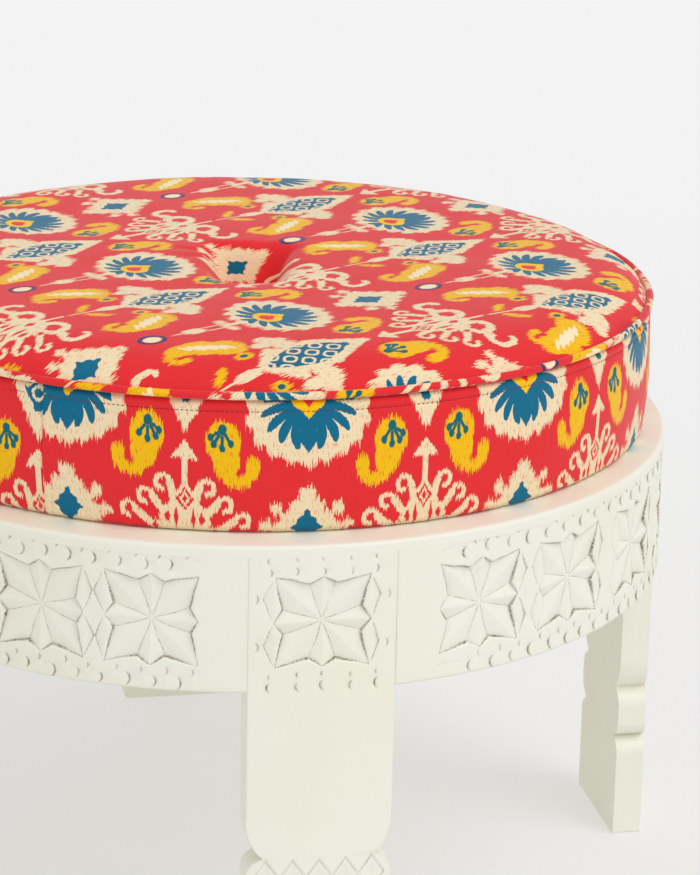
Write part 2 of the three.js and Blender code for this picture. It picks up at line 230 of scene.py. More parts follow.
class Finish:
    def __init__(self, name):
        self.material = bpy.data.materials.new(name)
        self.material.use_nodes = True
        self.tree = self.material.node_tree
        self.tree.nodes.clear()

    def node(self, kind, settings=None, inputs=None, output=0):
        made = self.tree.nodes.new(kind)
        for key, value in (settings or {}).items():
            setattr(made, key, value)
        for key, value in (inputs or {}).items():
            if isinstance(value, Wire):
                self.tree.links.new(value.socket, made.inputs[key])
            else:
                made.inputs[key].default_value = value
        return Wire(self, made.outputs[output] if len(made.outputs) else None)

    def math(self, operation, *values):
        return self.node("ShaderNodeMath", {"operation": operation}, dict(enumerate(values)))

    def mix(self, share, under, over):
        return self.node("ShaderNodeMix", {"data_type": "RGBA"}, {0: share, 6: under, 7: over}, 2)

    def noise(self, place, scale=1, detail=2):
        return self.node("ShaderNodeTexNoise", {"noise_dimensions": "3D"},
                         {"Vector": place, "Scale": scale, "Detail": detail})

    def place(self):
        # on the object itself, in metres
        return self.node("ShaderNodeTexCoord", output=3)

    def onMap(self, name):
        return self.parts(self.node("ShaderNodeUVMap", {"uv_map": name}))

    def pair(self, across, up, deep=0):
        return self.node("ShaderNodeCombineXYZ", None, {0: across, 1: up, 2: deep})

    def parts(self, place):
        made = self.tree.nodes.new("ShaderNodeSeparateXYZ")
        self.tree.links.new(place.socket, made.inputs[0])
        return [Wire(self, socket) for socket in made.outputs]

    def bump(self, height, strength, distance):
        return self.node("ShaderNodeBump", None,
                         {"Height": height, "Strength": strength, "Distance": distance})

    def surface(self, colour, rough, others):
        inputs = {"Base Color": colour, "Roughness": rough, **others}
        shader = self.node("ShaderNodeBsdfPrincipled", None, inputs)
        self.node("ShaderNodeOutputMaterial", None, {"Surface": shader})
        return self.material


# Camera

view = SimpleNamespace(
    distance=2286.62,     # from the base's axis, along the floor
    height=1026.40,
    turn=math.radians(10),   # the front leg faces this far to the right of the camera
    yaw=0.03323,
    pitch=0.30387,
    roll=-0.02157,
    focalPixels=3332.36,
    frameHigh=875,
    sensor=36,
)


def addCamera():
    yaw, pitch, roll = view.yaw, view.pitch, view.roll
    level = Vector((math.cos(yaw), -math.sin(yaw), 0))
    upright = Vector((math.sin(yaw) * math.sin(pitch), math.cos(yaw) * math.sin(pitch), math.cos(pitch)))
    ahead = Vector((math.sin(yaw) * math.cos(pitch), math.cos(yaw) * math.cos(pitch), -math.sin(pitch)))
    right = level * math.cos(roll) - upright * math.sin(roll)
    up = level * math.sin(roll) + upright * math.cos(roll)
    place = Matrix((right, up, -ahead)).transposed().to_4x4()
    place.translation = Vector((0, -view.distance * mm, view.height * mm))
    camera = added("camera", bpy.ops.object.camera_add)
    camera.data.sensor_width = view.sensor
    camera.data.lens = view.focalPixels / view.frameHigh * view.sensor
    camera.matrix_world = Matrix.Rotation(-view.turn, 4, "Z") @ place
    bpy.context.scene.camera = camera


addCamera()
print("camera is in place")


# Sizes that the pieces share, read from the frame, in millimetres

boardLow, boardHigh = [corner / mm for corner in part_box("top_board")]
apronLow, _ = [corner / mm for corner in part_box("apron_front_right")]
_, legHigh = [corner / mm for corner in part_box("leg_front")]
baseRadius = boardHigh.x
baseTop = boardHigh.z
legHalf = legHigh.x
legBack = -legHigh.y
jointGap = 0.3
quarter = math.pi / 2


# Painted wood: ivory paint on carved boards, with dirt and painted shade in the cuts

paint = SimpleNamespace(
    ivory=linear(240, 240, 226),
    warm=linear(237, 230, 205),
    dirtAndShade=linear(96, 74, 50),
    strokes=(60, 900),    # brush marks to a metre, along and across the grain
    cloud=7,              # the other noises, also to a metre
    patches=95,
    spots=420,
    specks=650,
    warmth=0.7,
    darkest=0.95,
    rough=0.44,
    bump=0.0003,
    valleyShade=0.7,
    kiteShade=0.75,
)


def cutLines(f):
    # fine dark lines of dirt and painted shade at the foot of each cut, on the drawing's own map
    half, out, side, wide = carving.half, carving.notchOut, carving.notchSide, carving.kiteWidth
    across, up, _ = f.onMap("carved")
    x, y = abs(across * 1000), abs(up * 1000)
    a, b = x.most(y), x.least(y)

    def line(distance, thick=carving.line):
        return (1 - abs(distance) * (1 / thick)).held()

    upright = (half * side - a * side - b * (half - out)) * (1 / math.hypot(half - out, side))
    corner = a * (side - half) + b * (half - out) + (half - side) * out - (half - out) * side
    wall = upright.most(corner * (1 / math.hypot(half - out, half - side)))
    valley = (b * out - a * side) * (1 / math.hypot(out, side))
    run = x - half
    reach = wide * (1 - abs(y - half / 2) * (2 / half)) - run
    walls = line(wall - carving.wall * 0.6)
    valleys = line(valley) * (wall * 2).held() * paint.valleyShade
    kiteEdges = line(reach - 0.5, carving.line * 1.1) * (run * 3).held() * paint.kiteShade
    return walls.most(valleys).most(kiteEdges)


def paintedFinish(name, carved=False):
    f = Finish(name)
    place = f.place()
    along, across, _ = f.onMap("grain")
    strokes = f.noise(f.pair(along * paint.strokes[0], across * paint.strokes[1]), detail=3)
    cloud = f.noise(place, paint.cloud, 3)
    spots = f.noise(place, paint.spots)
    patchy = f.noise(place, paint.patches, 3)
    specks = ((f.noise(place, paint.specks, 1) - 0.5) * 7).held()
    # this attribute holds dirt and painted shade in the cuts, worked out from the relief
    dirtAndShadeMask = f.node("ShaderNodeAttribute", {"attribute_name": "dirtAndShade"}, output=2)
    body = f.mix(((cloud - 0.45) * 2).held() * paint.warmth, paint.ivory, paint.warm)
    dirtAndShadeShare = (dirtAndShadeMask * (patchy * 1.6 + specks * 0.5)).held()
    if carved:
        drawn = cutLines(f) * (dirtAndShadeMask * 40).held() * ((patchy - 0.25) * 3 + 0.2).held()
        dirtAndShadeShare = dirtAndShadeShare.most(drawn * (0.6 + specks * 0.6)).held()
    # dirt and painted shade turn the paint brown
    colour = f.mix(dirtAndShadeShare * paint.darkest, body, paint.dirtAndShade)
    normal = f.bump(strokes * 0.6 + spots * 0.25, 0.2, paint.bump)
    return f.surface(colour, paint.rough + strokes * 0.1 + dirtAndShadeShare * 0.3, {"Normal": normal})


# The hidden pieces: bare wood with its grain along the block, steel and twine

hidden = SimpleNamespace(
    wood=linear(196, 160, 112),
    lateWood=linear(150, 110, 70),
    pore=linear(110, 78, 48),
    steel=linear(196, 188, 168),
    tarnish=linear(140, 120, 92),
    twine=linear(232, 220, 192),
    twineShade=linear(196, 178, 140),
)


def bareFinish():
    f = Finish("bare wood")
    x, y, z = f.parts(f.place())
    rings = f.noise(f.pair(x * 6, y * 6, z * 160), detail=4)
    pores = f.noise(f.pair(x * 40, y * 40, z * 900))
    colour = f.mix((rings * 1.8 - 0.4).held(), hidden.wood, hidden.lateWood)
    colour = f.mix((pores * 2 - 0.9).held() * 0.5, colour, hidden.pore)
    normal = f.bump(pores + rings, 0.3, 0.0005)
    return f.surface(colour, 0.62 + rings * 0.2, {"Normal": normal})


def steelFinish():
    f = Finish("screw steel")
    tarnish = f.noise(f.place(), 600, 3)
    colour = f.mix((tarnish * 2 - 0.7).held(), hidden.steel, hidden.tarnish)
    return f.surface(colour, 0.28 + tarnish * 0.25, {"Metallic": 1})


def twineFinish():
    f = Finish("twine")
    x, _, z = f.parts(f.place())
    twist = f.math("SINE", z * 5200 + x * 900)
    colour = f.mix(twist * 0.3 + 0.4, hidden.twine, hidden.twineShade)
    return f.surface(colour, 0.9, {"Normal": f.bump(twist, 0.6, 0.0002)})


# Carved boards
# Relief is worked out on a flat drawing, in millimetres: along the face, and up from the base's top.

carving = SimpleNamespace(
    half=31.5,            # half a rosette
    drop=51.5,            # middle of the rosettes, below the base's top
    centreDepth=2.4,
    notchDepth=3.4,
    tipDepth=0.45,
    notchOut=26.2,
    notchSide=8.8,
    wall=0.65,            # width of the steep cut round a petal
    line=0.5,             # half the width of the dirt and painted shade in a cut
    kiteWidth=7,
    kiteDepth=1.7,
    waver=0.75,           # hand-made unevenness, broad and fine
    waverSize=17,
    tremor=0.35,
    tremorSize=7,
    soften=0.42,          # paint rounds every edge by about this much
    step=0.64,            # from one corner of a carved face to the next
    drift=0.12,           # how far the face itself is from true
)

crescent = SimpleNamespace(
    pitch=17.3,
    radius=4.6,
    setBack=0.8,          # of its radius
    ramp=8.5,             # length of the slope down to its cut
    wall=0.5,
    depth=1.15,
    fullSweep=1.25,
    sweep=0.95,           # radians over which its ends fade
    lineAt=0.2,           # the dirt and painted shade along the cut, from its edge
    line=0.5,
    strayAlong=0.7,
    strayUp=0.5,
    sizes=(0.85, 1.12),
)

# how dark the hollows and the joints are painted: dirt, and painted shade in the hollows
darkening = SimpleNamespace(
    fineReach=0.6,
    broadReach=2.2,
    fine=0.75,
    broad=0.2,
    joint=0.08,           # along the edges where boards meet
    jointReach=0.7,
)


def petals(x, y):
    half, out, side = carving.half, carving.notchOut, carving.notchSide
    centre, notch, tip = -carving.centreDepth, -carving.notchDepth, -carving.tipDepth
    a, b = np.maximum(abs(x), abs(y)), np.minimum(abs(x), abs(y))
    # between an upright petal's ridge and the notch
    toNotch = b / side
    toTip = (a - out * toNotch) / half
    left = 1 - toNotch - toTip
    upright = centre * left + notch * toNotch + tip * toTip
    uprightWall = left * half * side / math.hypot(half - out, side)
    # between the notch and a corner petal's ridge
    toNotch = (a - b) / (out - side)
    toTip = (b - side * toNotch) / half
    left = 1 - toNotch - toTip
    corner = centre * left + notch * toNotch + tip * toTip
    cornerWall = left * half * (out - side) / math.hypot(half - out, half - side)
    first = b * out < a * side
    wall = np.where(first, uprightWall, cornerWall)
    return np.where(first, upright, corner) * np.clip(wall / carving.wall, 0, 1)


def kites(x, y, side):
    # two facets beside a rosette, one above the other, that sink to a point
    half, wide = carving.half, carving.kiteWidth
    run = x * side - half
    share = abs(abs(y) - half / 2) / (half / 2)
    reach = wide * (1 - share) - run
    facet = -carving.kiteDepth * run / wide * np.clip(reach / carving.wall, 0, 1)
    return np.where((run > 0) & (reach > 0), facet, 0)


def gouges(x, y, centre, side, size=1.0):
    # a crescent stop cut with a slope down to it
    radius, ramp = crescent.radius * size, crescent.ramp * size
    a, b = (x - centre[0]) * side + radius * crescent.setBack, y - centre[1]
    reach = np.hypot(a, b) - radius
    sweep = np.clip(crescent.fullSweep - abs(np.arctan2(b, a)) / crescent.sweep, 0, 1) ** 0.5
    depth = np.where(reach > 0, 1 - reach / ramp, 1 + reach / crescent.wall)
    # a dark line along the cut: dirt and painted shade
    mark = bell(reach - crescent.lineAt, crescent.line) * np.clip(sweep * 1.4 - 0.4, 0, 1)
    return -crescent.depth * size * np.clip(depth, 0, 1) * sweep, mark * min(size, 1) ** 0.5


def both(drawing, cuts):
    # one drawing of relief and of dirt and painted shade over another
    return np.minimum(drawing[0], cuts[0]), np.maximum(drawing[1], cuts[1])


def uneven(x, y, seed):
    def strayed(value, seed):
        return (value + carving.waver * softNoise(x, y, carving.waverSize, seed)
                + carving.tremor * softNoise(x, y, carving.tremorSize, seed + 1))

    return strayed(x, seed), strayed(y, seed + 2)


def scaleRow(x, y, reach, height, pitch, side, size, seed):
    cuts = np.zeros_like(x), np.zeros_like(x)
    count = int(reach // pitch)
    luck = np.random.default_rng(seed + int(abs(height)))
    for i in range(-count, count + 1):
        centre = (i * pitch + luck.normal(0, crescent.strayAlong),
                  height + luck.normal(0, crescent.strayUp))
        cuts = both(cuts, gouges(x, y, centre, side, size * luck.uniform(*crescent.sizes)))
    return cuts


def apronRelief(x, y, places, side, seed):
    relief = np.zeros_like(x)
    last = len(places) - 1
    for i, place in enumerate(places):
        relief = np.minimum(relief, petals(x - place, y))
        for hand in [h for h in (-1, 1) if 0 <= i + h <= last]:
            relief = np.minimum(relief, kites(x - place, y, hand))
    cuts = relief, np.zeros_like(x)
    edge = places[-1] + carving.half
    pitch = crescent.pitch
    for height, size, shift in apron.rows:
        cuts = both(cuts, scaleRow(x - shift * pitch, y, edge - apron.rowEnd, height, pitch, side,
                                   size, seed))
    relief, marks = cuts
    for height in apron.ties:
        wave = height + apron.tieWave * abs(np.sin(x * math.pi / pitch))
        tie = -apron.tieDepth * bell(y - wave, apron.tieWidth) * (abs(x) < edge)
        relief = np.minimum(relief, tie)
    return relief, marks


def legRelief(x, y, along, up, seed):
    shifted = x + leg.rosetteShift
    cuts = petals(shifted, y), np.zeros_like(x)
    for hand, share in zip((-1, 1), leg.tickDepths):
        cuts = both(cuts, (kites(shifted, y, hand), cuts[1]))
        for height in leg.ticks:
            tick = gouges(x, y, (hand * leg.tickOut, height), 1, leg.tickSize)
            cuts = both(cuts, (tick[0] * share, tick[1] * share))
    for height, size, side in leg.rows:
        cuts = both(cuts, scaleRow(x, y, leg.rowReach, height, leg.rowPitch, side, size, seed))
    # lozenges side by side on the band above the foot
    bandY = up - leg.bandMiddle
    width, height = leg.diamondWidth, leg.diamondHeight
    folded = abs((along / width + 0.5) % 1 - 0.5) * width
    share = folded / (width / 2) + abs(bandY) / (height / 2)
    hollow = -leg.diamondDepth * np.clip(1 - share, 0, 1) ** leg.diamondPower
    hollow = hollow - leg.diamondLine * bell(share - 1, leg.diamondLineWidth)
    inBand = (abs(along) < width * leg.diamonds / 2) & (abs(bandY) < height * leg.bandReach)
    return np.minimum(cuts[0], np.where(inBand, hollow, 0)), cuts[1]


def gridPiece(name, columns, rows):
    # a flat sheet of faces, and the row and column that each corner is in
    piece = added(name, bpy.ops.mesh.primitive_grid_add, size=2,
                  x_subdivisions=columns, y_subdivisions=rows)
    flat = pointsOf(piece)
    i = np.rint((flat[:, 0] + 1) / 2 * columns).astype(int)
    j = np.rint((flat[:, 1] + 1) / 2 * rows).astype(int)
    return piece, (j, i)


def edgeRound(distance, radius):
    # how far a softened corner falls back, near the edge of a face
    corner = np.clip(1 - distance / radius, 0, 1)
    return radius * (1 - np.sqrt(1 - corner ** 2))


def dirtAndShadeOf(relief):
    # darker in the hollows of the relief: dirt that settles there, and painted shade where the hollows
    # shade themselves
    fine = blurred(relief, darkening.fineReach / carving.step) - relief
    broad = blurred(relief, darkening.broadReach / carving.step) - relief
    return (np.clip(fine * 2.4 - 0.12, 0, 1) * darkening.fine
            + np.clip(broad * 0.4, 0, 1) * darkening.broad)


def softened(relief):
    return blurred(relief, carving.soften / carving.step)


def markCarving(piece, x, y, middles):
    # the drawing's own place, from the middle of the nearest rosette
    owners, faces = cornerPoints(piece), cornerFaces(piece)
    farOff = np.full(len(piece.data.vertices) - len(x), 1 / mm)
    x, y = np.append(x, farOff)[owners], np.append(y, farOff)[owners]
    centre = np.bincount(faces, x) / np.bincount(faces)
    nearest = np.array(middles)[np.argmin(abs(centre[:, None] - np.array(middles)), 1)]
    writeMap(piece, "carved", (x - nearest[faces]) * mm, y * mm)


def layFace(piece, cells, out, bend, up, dirtAndShade):
    movePoints(piece, placesAt(baseRadius + out, bend, up)[cells] * mm)
    writeFloats(piece, "dirtAndShade", dirtAndShade[cells])


def sideStrip(piece, picked, place):
    # pulls the picked border back to the inner face, which has no dirt and no painted shade
    selectBorder(piece, picked)
    before = len(piece.data.vertices)
    inEdit(piece, lambda: bpy.ops.mesh.extrude_region_move(TRANSFORM_OT_translate={"value": (0, 0, 0)}))
    places = pointsOf(piece)
    places[before:] = place(places[before:])
    movePoints(piece, places)
    dirtAndShade = readAll(piece.data.attributes["dirtAndShade"].data, "value")
    dirtAndShade[before:] = 0
    writeFloats(piece, "dirtAndShade", dirtAndShade)
    return before


def closeBack(piece, joined, openEnds):
    # bridges the two inner borders, then fills what is left open
    selectBorder(piece, joined)
    inEdit(piece, bpy.ops.mesh.bridge_edge_loops)
    for end in openEnds:
        selectBorder(piece, end)
        inEdit(piece, bpy.ops.mesh.edge_face_add)
    inEdit(piece, outward)


def turnedBy(angle):
    return np.array([[math.cos(angle), math.sin(angle), 0], [-math.sin(angle), math.cos(angle), 0],
                     [0, 0, 1]])


def finishBoard(piece, node, finish="carved"):
    coat(piece, finish, 50)
    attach(piece, "base")
    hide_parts(node)


apron = SimpleNamespace(
    thickness=22,
    gap=0.06,             # painted over, so less than the joint's own
    endRound=0.2,
    footRound=2.2,
    footGrime=0.12,
    footReach=1.5,
    # rows of crescents: height from the rosettes' middle, size, and shift in pitches
    rows=((37.3, 1, 0), (44, 0.62, 0.5), (-42.4, 1, 0.3), (-35.2, 0.55, 0.8)),
    rowEnd=4,
    ties=(40.8, -38.6),   # faint lines that tie the crescents together
    tieWave=1.1,
    tieDepth=0.3,
    tieWidth=0.6,
    driftSize=31,
)


def addApron(name, node, angle, places, side, seed):
    inner = baseRadius - apron.thickness
    outerHalf = quarter / 2 - math.asin((legHalf + apron.gap) / baseRadius)
    innerHalf = quarter / 2 - math.asin((legHalf + jointGap) / inner)
    low, high = apronLow.z, baseTop - topBoard.lip
    columns = int(2 * outerHalf * baseRadius / carving.step)
    rows = int((high - low) / carving.step)
    piece, cells = gridPiece(name, columns, rows)
    along, up = np.meshgrid(np.linspace(-outerHalf, outerHalf, columns + 1) * baseRadius,
                            np.linspace(low, high, rows + 1))
    x, y = uneven(along, up - baseTop + carving.drop, seed)
    relief, marks = apronRelief(x, y, places, side, seed)
    ends = outerHalf * baseRadius - abs(along)
    dirtAndShade = np.maximum(dirtAndShadeOf(relief), marks)
    dirtAndShade += (darkening.joint * np.exp(-ends / darkening.jointReach)
              + apron.footGrime * np.exp(-(up - low) / apron.footReach))
    out = softened(relief) - edgeRound(ends, apron.endRound) - edgeRound(up - low, apron.footRound)
    out += carving.drift * softNoise(along, up, apron.driftSize, seed + 9)
    layFace(piece, cells, out, along / baseRadius, up, dirtAndShade)

    def backWards(points):
        return placesAt(inner * mm, azimuthOf(points) * innerHalf / outerHalf, points[:, 2])

    def atHeight(height):
        return lambda a, b, ends: (abs(a[:, 2] - height * mm) < near) & (abs(b[:, 2] - height * mm) < near)

    def onSide(hand):
        return lambda a, b, ends: (a[:, 0] * hand > 0) & (b[:, 0] * hand > 0)

    first = sideStrip(piece, atHeight(low), backWards)
    sideStrip(piece, atHeight(high), backWards)
    closeBack(piece, lambda a, b, ends: (ends.min(1) >= first) & (abs(a[:, 2] - b[:, 2]) < near),
              (onSide(-1), onSide(1)))
    spots, owners = pointsOf(piece), cornerPoints(piece)
    run = azimuthOf(spots) * baseRadius * mm
    writeMap(piece, "grain", run[owners], spots[owners, 2])
    markCarving(piece, x[cells], y[cells], places)
    movePoints(piece, spots @ turnedBy(angle))
    finishBoard(piece, node)


leg = SimpleNamespace(
    knee=140, waist=114.5, ankle=76,
    notch=11,
    shoulder=13, footShoulder=12,
    sweep=0.95,
    footRound=2.5,
    arris=0.6,
    upperArris=0.25,      # beside the aprons
    edgeGrime=0.03,
    # painted shade in the waist notch: how dark it is, how far it reaches up and down, and how far in
    waistShade=0.2,
    waistReach=2,
    waistDepth=6,
    bandFrom=84, bandTo=118, carvedFrom=216,
    # heights of the rows of corners: from, to and step
    rowRuns=((0, 3, 0.5), (3, 60, 3), (60, 84, 1), (84, 118, 0.64), (118, 142, 1.2), (142, 216, 3)),
    crowding=0.15,        # of the columns, at the edges
    bandMiddle=100, diamondWidth=17.6, diamondHeight=25,
    diamonds=5, diamondDepth=1.5, diamondPower=0.8,
    diamondLine=0.9, diamondLineWidth=0.1,
    bandReach=0.62,       # of a diamond's height, each way
    rosetteShift=0.6,
    ticks=(15.5, -17.5),  # heights of the small crescents beside the rosette
    tickOut=42.5,
    tickSize=0.75,
    tickDepths=(1, 0.7),     # left and right
    # rows of crescents: height from the rosette's middle, size, and the side they face
    rows=((34.2, 0.62, 1), (42.6, 0.42, -1), (-44.5, 0.8, -1), (-36.8, 0.42, -1)),
    rowReach=36,
    rowPitch=17.6,
    driftSize=29,
)


def legHalfAt(height):
    # half the leg's width, with its two notches
    def shoulderIn(start, end):
        share = np.clip((height - start) / (end - start), 0, 1)
        angle = np.arcsin(share * math.sin(leg.sweep))
        return leg.notch * (1 - np.cos(angle)) / (1 - math.cos(leg.sweep)) * (share > 0)

    runs = (
        (leg.ankle - leg.footShoulder, leg.ankle),
        (leg.ankle + leg.shoulder, leg.ankle),
        (leg.waist - leg.shoulder, leg.waist),
        (leg.knee, leg.waist),
    )
    bite = np.zeros_like(height)
    for start, end in runs:
        within = (height - start) * (height - end) <= 0
        bite = np.where(within, np.maximum(bite, shoulderIn(start, end)), bite)
    return legHalf - bite - edgeRound(height, leg.footRound)


def spread(runs):
    # each run goes from one height to the next at its own step
    heights = [runs[0][0]]
    for low, high, step in runs:
        count = max(1, round((high - low) / step))
        heights += list(np.linspace(low, high, count + 1)[1:])
    return np.array(heights)


def addLeg(name, node, angle, seed):
    high = baseTop - topBoard.lip
    heights = spread((*leg.rowRuns, (leg.carvedFrom, high, carving.step)))
    columns = int(2 * legHalf / carving.step)
    piece, cells = gridPiece(name, columns, len(heights) - 1)
    share = np.linspace(-1, 1, columns + 1)
    share = share * (1 + leg.crowding - leg.crowding * share ** 2)
    share, up = np.meshgrid(share, heights)
    wide = legHalfAt(up)
    across = share * wide
    x, y = uneven(across, up - baseTop + carving.drop, seed)
    relief, marks = legRelief(x, y, across, up, seed)
    carved = (up > leg.carvedFrom) | ((up > leg.bandFrom) & (up < leg.bandTo))
    dirtAndShade = np.where(carved, np.maximum(dirtAndShadeOf(relief), marks), 0)
    relief = np.where(carved, softened(relief), relief)
    ends = wide - abs(across)
    beside = up > apronLow.z
    dirtAndShade += np.where(beside, darkening.joint, leg.edgeGrime) * np.exp(-ends / darkening.jointReach)
    # painted shade in the notch at the leg's waist, darkest near its edges
    inWaist = np.exp(-abs(up - leg.waist) / leg.waistReach) * np.exp(-ends / leg.waistDepth)
    dirtAndShade += leg.waistShade * inWaist
    out = relief - edgeRound(ends, np.where(beside, leg.upperArris, leg.arris))
    out = out + carving.drift * softNoise(across, up, leg.driftSize, seed + 9)
    layFace(piece, cells, out, np.arcsin(across / baseRadius), up, dirtAndShade)

    def backWards(points):
        return np.stack([points[:, 0], np.full(len(points), -legBack * mm), points[:, 2]], -1)

    def sideBorder(hand):
        return lambda a, b, ends: ((abs(a[:, 2] - b[:, 2]) > near)
                                   & (a[:, 0] * hand > 0) & (b[:, 0] * hand > 0))

    def endBorder(hand):
        return lambda a, b, ends: (a[:, 2] - high / 2 * mm) * hand > 0

    first = sideStrip(piece, sideBorder(-1), backWards)
    sideStrip(piece, sideBorder(1), backWards)
    closeBack(piece, lambda a, b, ends: (ends.min(1) >= first) & (abs(a[:, 2] - b[:, 2]) > near),
              (endBorder(-1), endBorder(1)))
    spots, owners = pointsOf(piece), cornerPoints(piece)
    writeMap(piece, "grain", spots[owners, 2], (spots[:, 0] + spots[:, 1])[owners])
    markCarving(piece, x[cells] + leg.rosetteShift, y[cells], [0])
    movePoints(piece, spots @ turnedBy(angle))
    finishBoard(piece, node)


topBoard = SimpleNamespace(
    sides=288,
    lip=8,
    edgeRound=3,
    edgeSteps=6,
    insets=(6, 12, 30),
    wobble=0.12,
    wobbleSize=23,
    wobbleSeed=71,
    wobbleFrom=290,
    wobbleFade=10,
)


def addTopBoard():
    low, high = (baseTop - topBoard.lip) * mm, baseTop * mm
    seat = legBack - jointGap
    piece = added("topBoard", bpy.ops.mesh.primitive_cylinder_add, vertices=topBoard.sides,
                  radius=baseRadius * mm, depth=topBoard.lip * mm,
                  location=(0, 0, (baseTop - topBoard.lip / 2) * mm))
    bpy.ops.object.transform_apply(location=True, rotation=False, scale=False)

    def pickFaces(height):
        centres = readAll(piece.data.polygons, "center", 3)[:, 2]
        normals = readAll(piece.data.polygons, "normal", 3)[:, 2]
        inEdit(piece, lambda: bpy.ops.mesh.select_all(action="DESELECT"), kind="FACE")
        picked = (abs(normals) > 0.9) & (abs(centres - height) < near)
        piece.data.polygons.foreach_set("select", picked)

    def inset(thickness):
        return lambda: bpy.ops.mesh.inset(thickness=thickness * mm)

    pickFaces(low)
    drop = (boardLow.z - baseTop + topBoard.lip) * mm
    inEdit(piece, inset(baseRadius - seat),
           lambda: bpy.ops.mesh.extrude_region_move(TRANSFORM_OT_translate={"value": (0, 0, drop)}),
           kind="FACE")
    selectEdges(piece, lambda a, b, ends: (a[:, 2] > high - near) & (b[:, 2] > high - near))
    inEdit(piece, lambda: bpy.ops.mesh.bevel(offset=topBoard.edgeRound * mm,
                                             segments=topBoard.edgeSteps, affect="EDGES"))
    pickFaces(high)
    inEdit(piece, *[inset(thickness) for thickness in topBoard.insets], kind="FACE")
    spots, owners = pointsOf(piece), cornerPoints(piece)
    radius = np.hypot(spots[:, 0], spots[:, 1])
    rim = np.clip((radius / mm - topBoard.wobbleFrom) / topBoard.wobbleFade, 0, 1)
    waves = softNoise(azimuthOf(spots) * baseRadius, radius * 0, topBoard.wobbleSize,
                      topBoard.wobbleSeed)
    spots[:, 2] += topBoard.wobble * mm * (rim * (spots[:, 2] > low + near)) * waves
    movePoints(piece, spots)
    writeFloats(piece, "dirtAndShade", np.zeros(len(spots)))
    writeMap(piece, "grain", spots[owners, 0], (spots[:, 1] + spots[:, 2])[owners])
    finishBoard(piece, "top_board", "painted")


finishes = {
    "painted": paintedFinish("painted wood"),
    "carved": paintedFinish("carved and painted wood", carved=True),
    "bare": bareFinish(),
    "steel": steelFinish(),
    "twine": twineFinish(),
}

addTopBoard()
print("top board is made")

for turn, where in enumerate(("front", "right", "back", "left")):
    addLeg("leg" + where.title(), "leg_" + where, turn * quarter, 100 + 20 * turn)
print("legs are carved")

# rosettes stand where a carver's eye put them, from the middle of a panel
panels = {
    "front_right": (-125, -44.5, 42, 125),
    "back_right": (-125, -41, 42, 124),
    "back_left": (-124, -42, 41, 125),
    "front_left": (-125, -42, 48, 124.6),
}
for turn, (where, places) in enumerate(panels.items()):
    addApron("apron" + where.title().replace("_", ""), "apron_" + where, (turn + 0.5) * quarter, places,
             -1 if turn % 2 == 0 else 1, 300 + 20 * turn)
print("aprons are carved")

hiddenFinishes = {"block_": "bare", "tuft_anchor": "bare", "screw_": "steel", "tuft_twine": "twine"}
for name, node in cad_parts.items():
    for start, finish in hiddenFinishes.items():
        if name.startswith(start):
            node.data.materials.clear()
            node.data.materials.append(finishes[finish])


# Printed cotton: ikat motifs, drawn in millimetres of cloth on the map named print

cloth = {
    "red": linear(239, 45, 51),
    "cream": linear(252, 232, 190),
    "yellow": linear(255, 200, 0),
    "blue": linear(0, 107, 141),
    "teal": linear(8, 104, 112),
    "navy": linear(52, 62, 112),
    "shade": linear(120, 20, 34),
    "repeatAcross": 155.0,
    "repeatUp": 233.0,
    "streakWide": 0.75,      # width of a streak of threads
    "streakLong": 11.0,
    "fray": 5.0,             # how far streaks pull an edge
    "treeFray": 2.4,
    "crispFray": 0.9,
    "fleckLevel": 0.655,
    "fleckShade": 0.7,
    "speckShade": 0.2,
    "rough": 0.72,
    "bump": 0.0004,
    "thread": linear(150, 22, 40),
    "threadShade": linear(90, 12, 26),
}


def length(a, b):
    return a.finish.math("SQRT", a * a + b * b)


def bearing(a, b):
    return a.finish.math("ARCTAN2", a, b)


def cosine(wire):
    return wire.finish.math("COSINE", wire)


class Drawing:
    # signed shapes on one axis of the print: below zero is inside
    def __init__(self, x, y):
        self.x, self.y = x, y

    def at(self, x, y, angle=0):
        a, b = self.x - x, self.y - y
        if angle:
            cos, sin = math.cos(math.radians(angle)), math.sin(math.radians(angle))
            a, b = a * cos + b * sin, b * cos - a * sin
        return a, b

    def oval(self, x, y, wide, high, angle=0):
        a, b = self.at(x, y, angle)
        a, b = a * (1 / wide), b * (1 / high)
        return (a * a + b * b - 1) * (min(wide, high) / 2)

    def lozenge(self, x, y, wide, high):
        a, b = self.at(x, y)
        return (abs(a) * (1 / wide) + abs(b) * (1 / high) - 1) * (wide * high / math.hypot(wide, high))

    def bar(self, x, low, high, half):
        return (abs(self.x - x) - half).most(abs(self.y - (low + high) / 2) - (high - low) / 2)

    def ring(self, x, y, radius, thick, side):
        # half a ring, on the side that the sign gives
        a, b = self.at(x, y)
        return (abs(length(a, b) - radius) - thick).most(b * side)

    def limb(self, x0, y0, x1, y1, half):
        # a straight stroke with round ends
        long = math.hypot(x1 - x0, y1 - y0)
        dx, dy = (x1 - x0) / long, (y1 - y0) / long
        a, b = self.at(x0, y0)
        run = (a * dx + b * dy).most(0).least(long)
        return length(a - run * dx, b - run * dy) - half

    def drawn(self, **kinds):
        # a list of shapes, from rows of numbers for each kind
        return [getattr(self, kind)(*row) for kind, rows in kinds.items() for row in rows]


def joined(shapes):
    whole = shapes[0]
    for shape in shapes[1:]:
        whole = whole.least(shape)
    return whole


def without(shape, hole):
    return shape.most(hole * -1)


def filled(shape, softness=0.45):
    return (0.5 - shape * (1 / softness)).held()


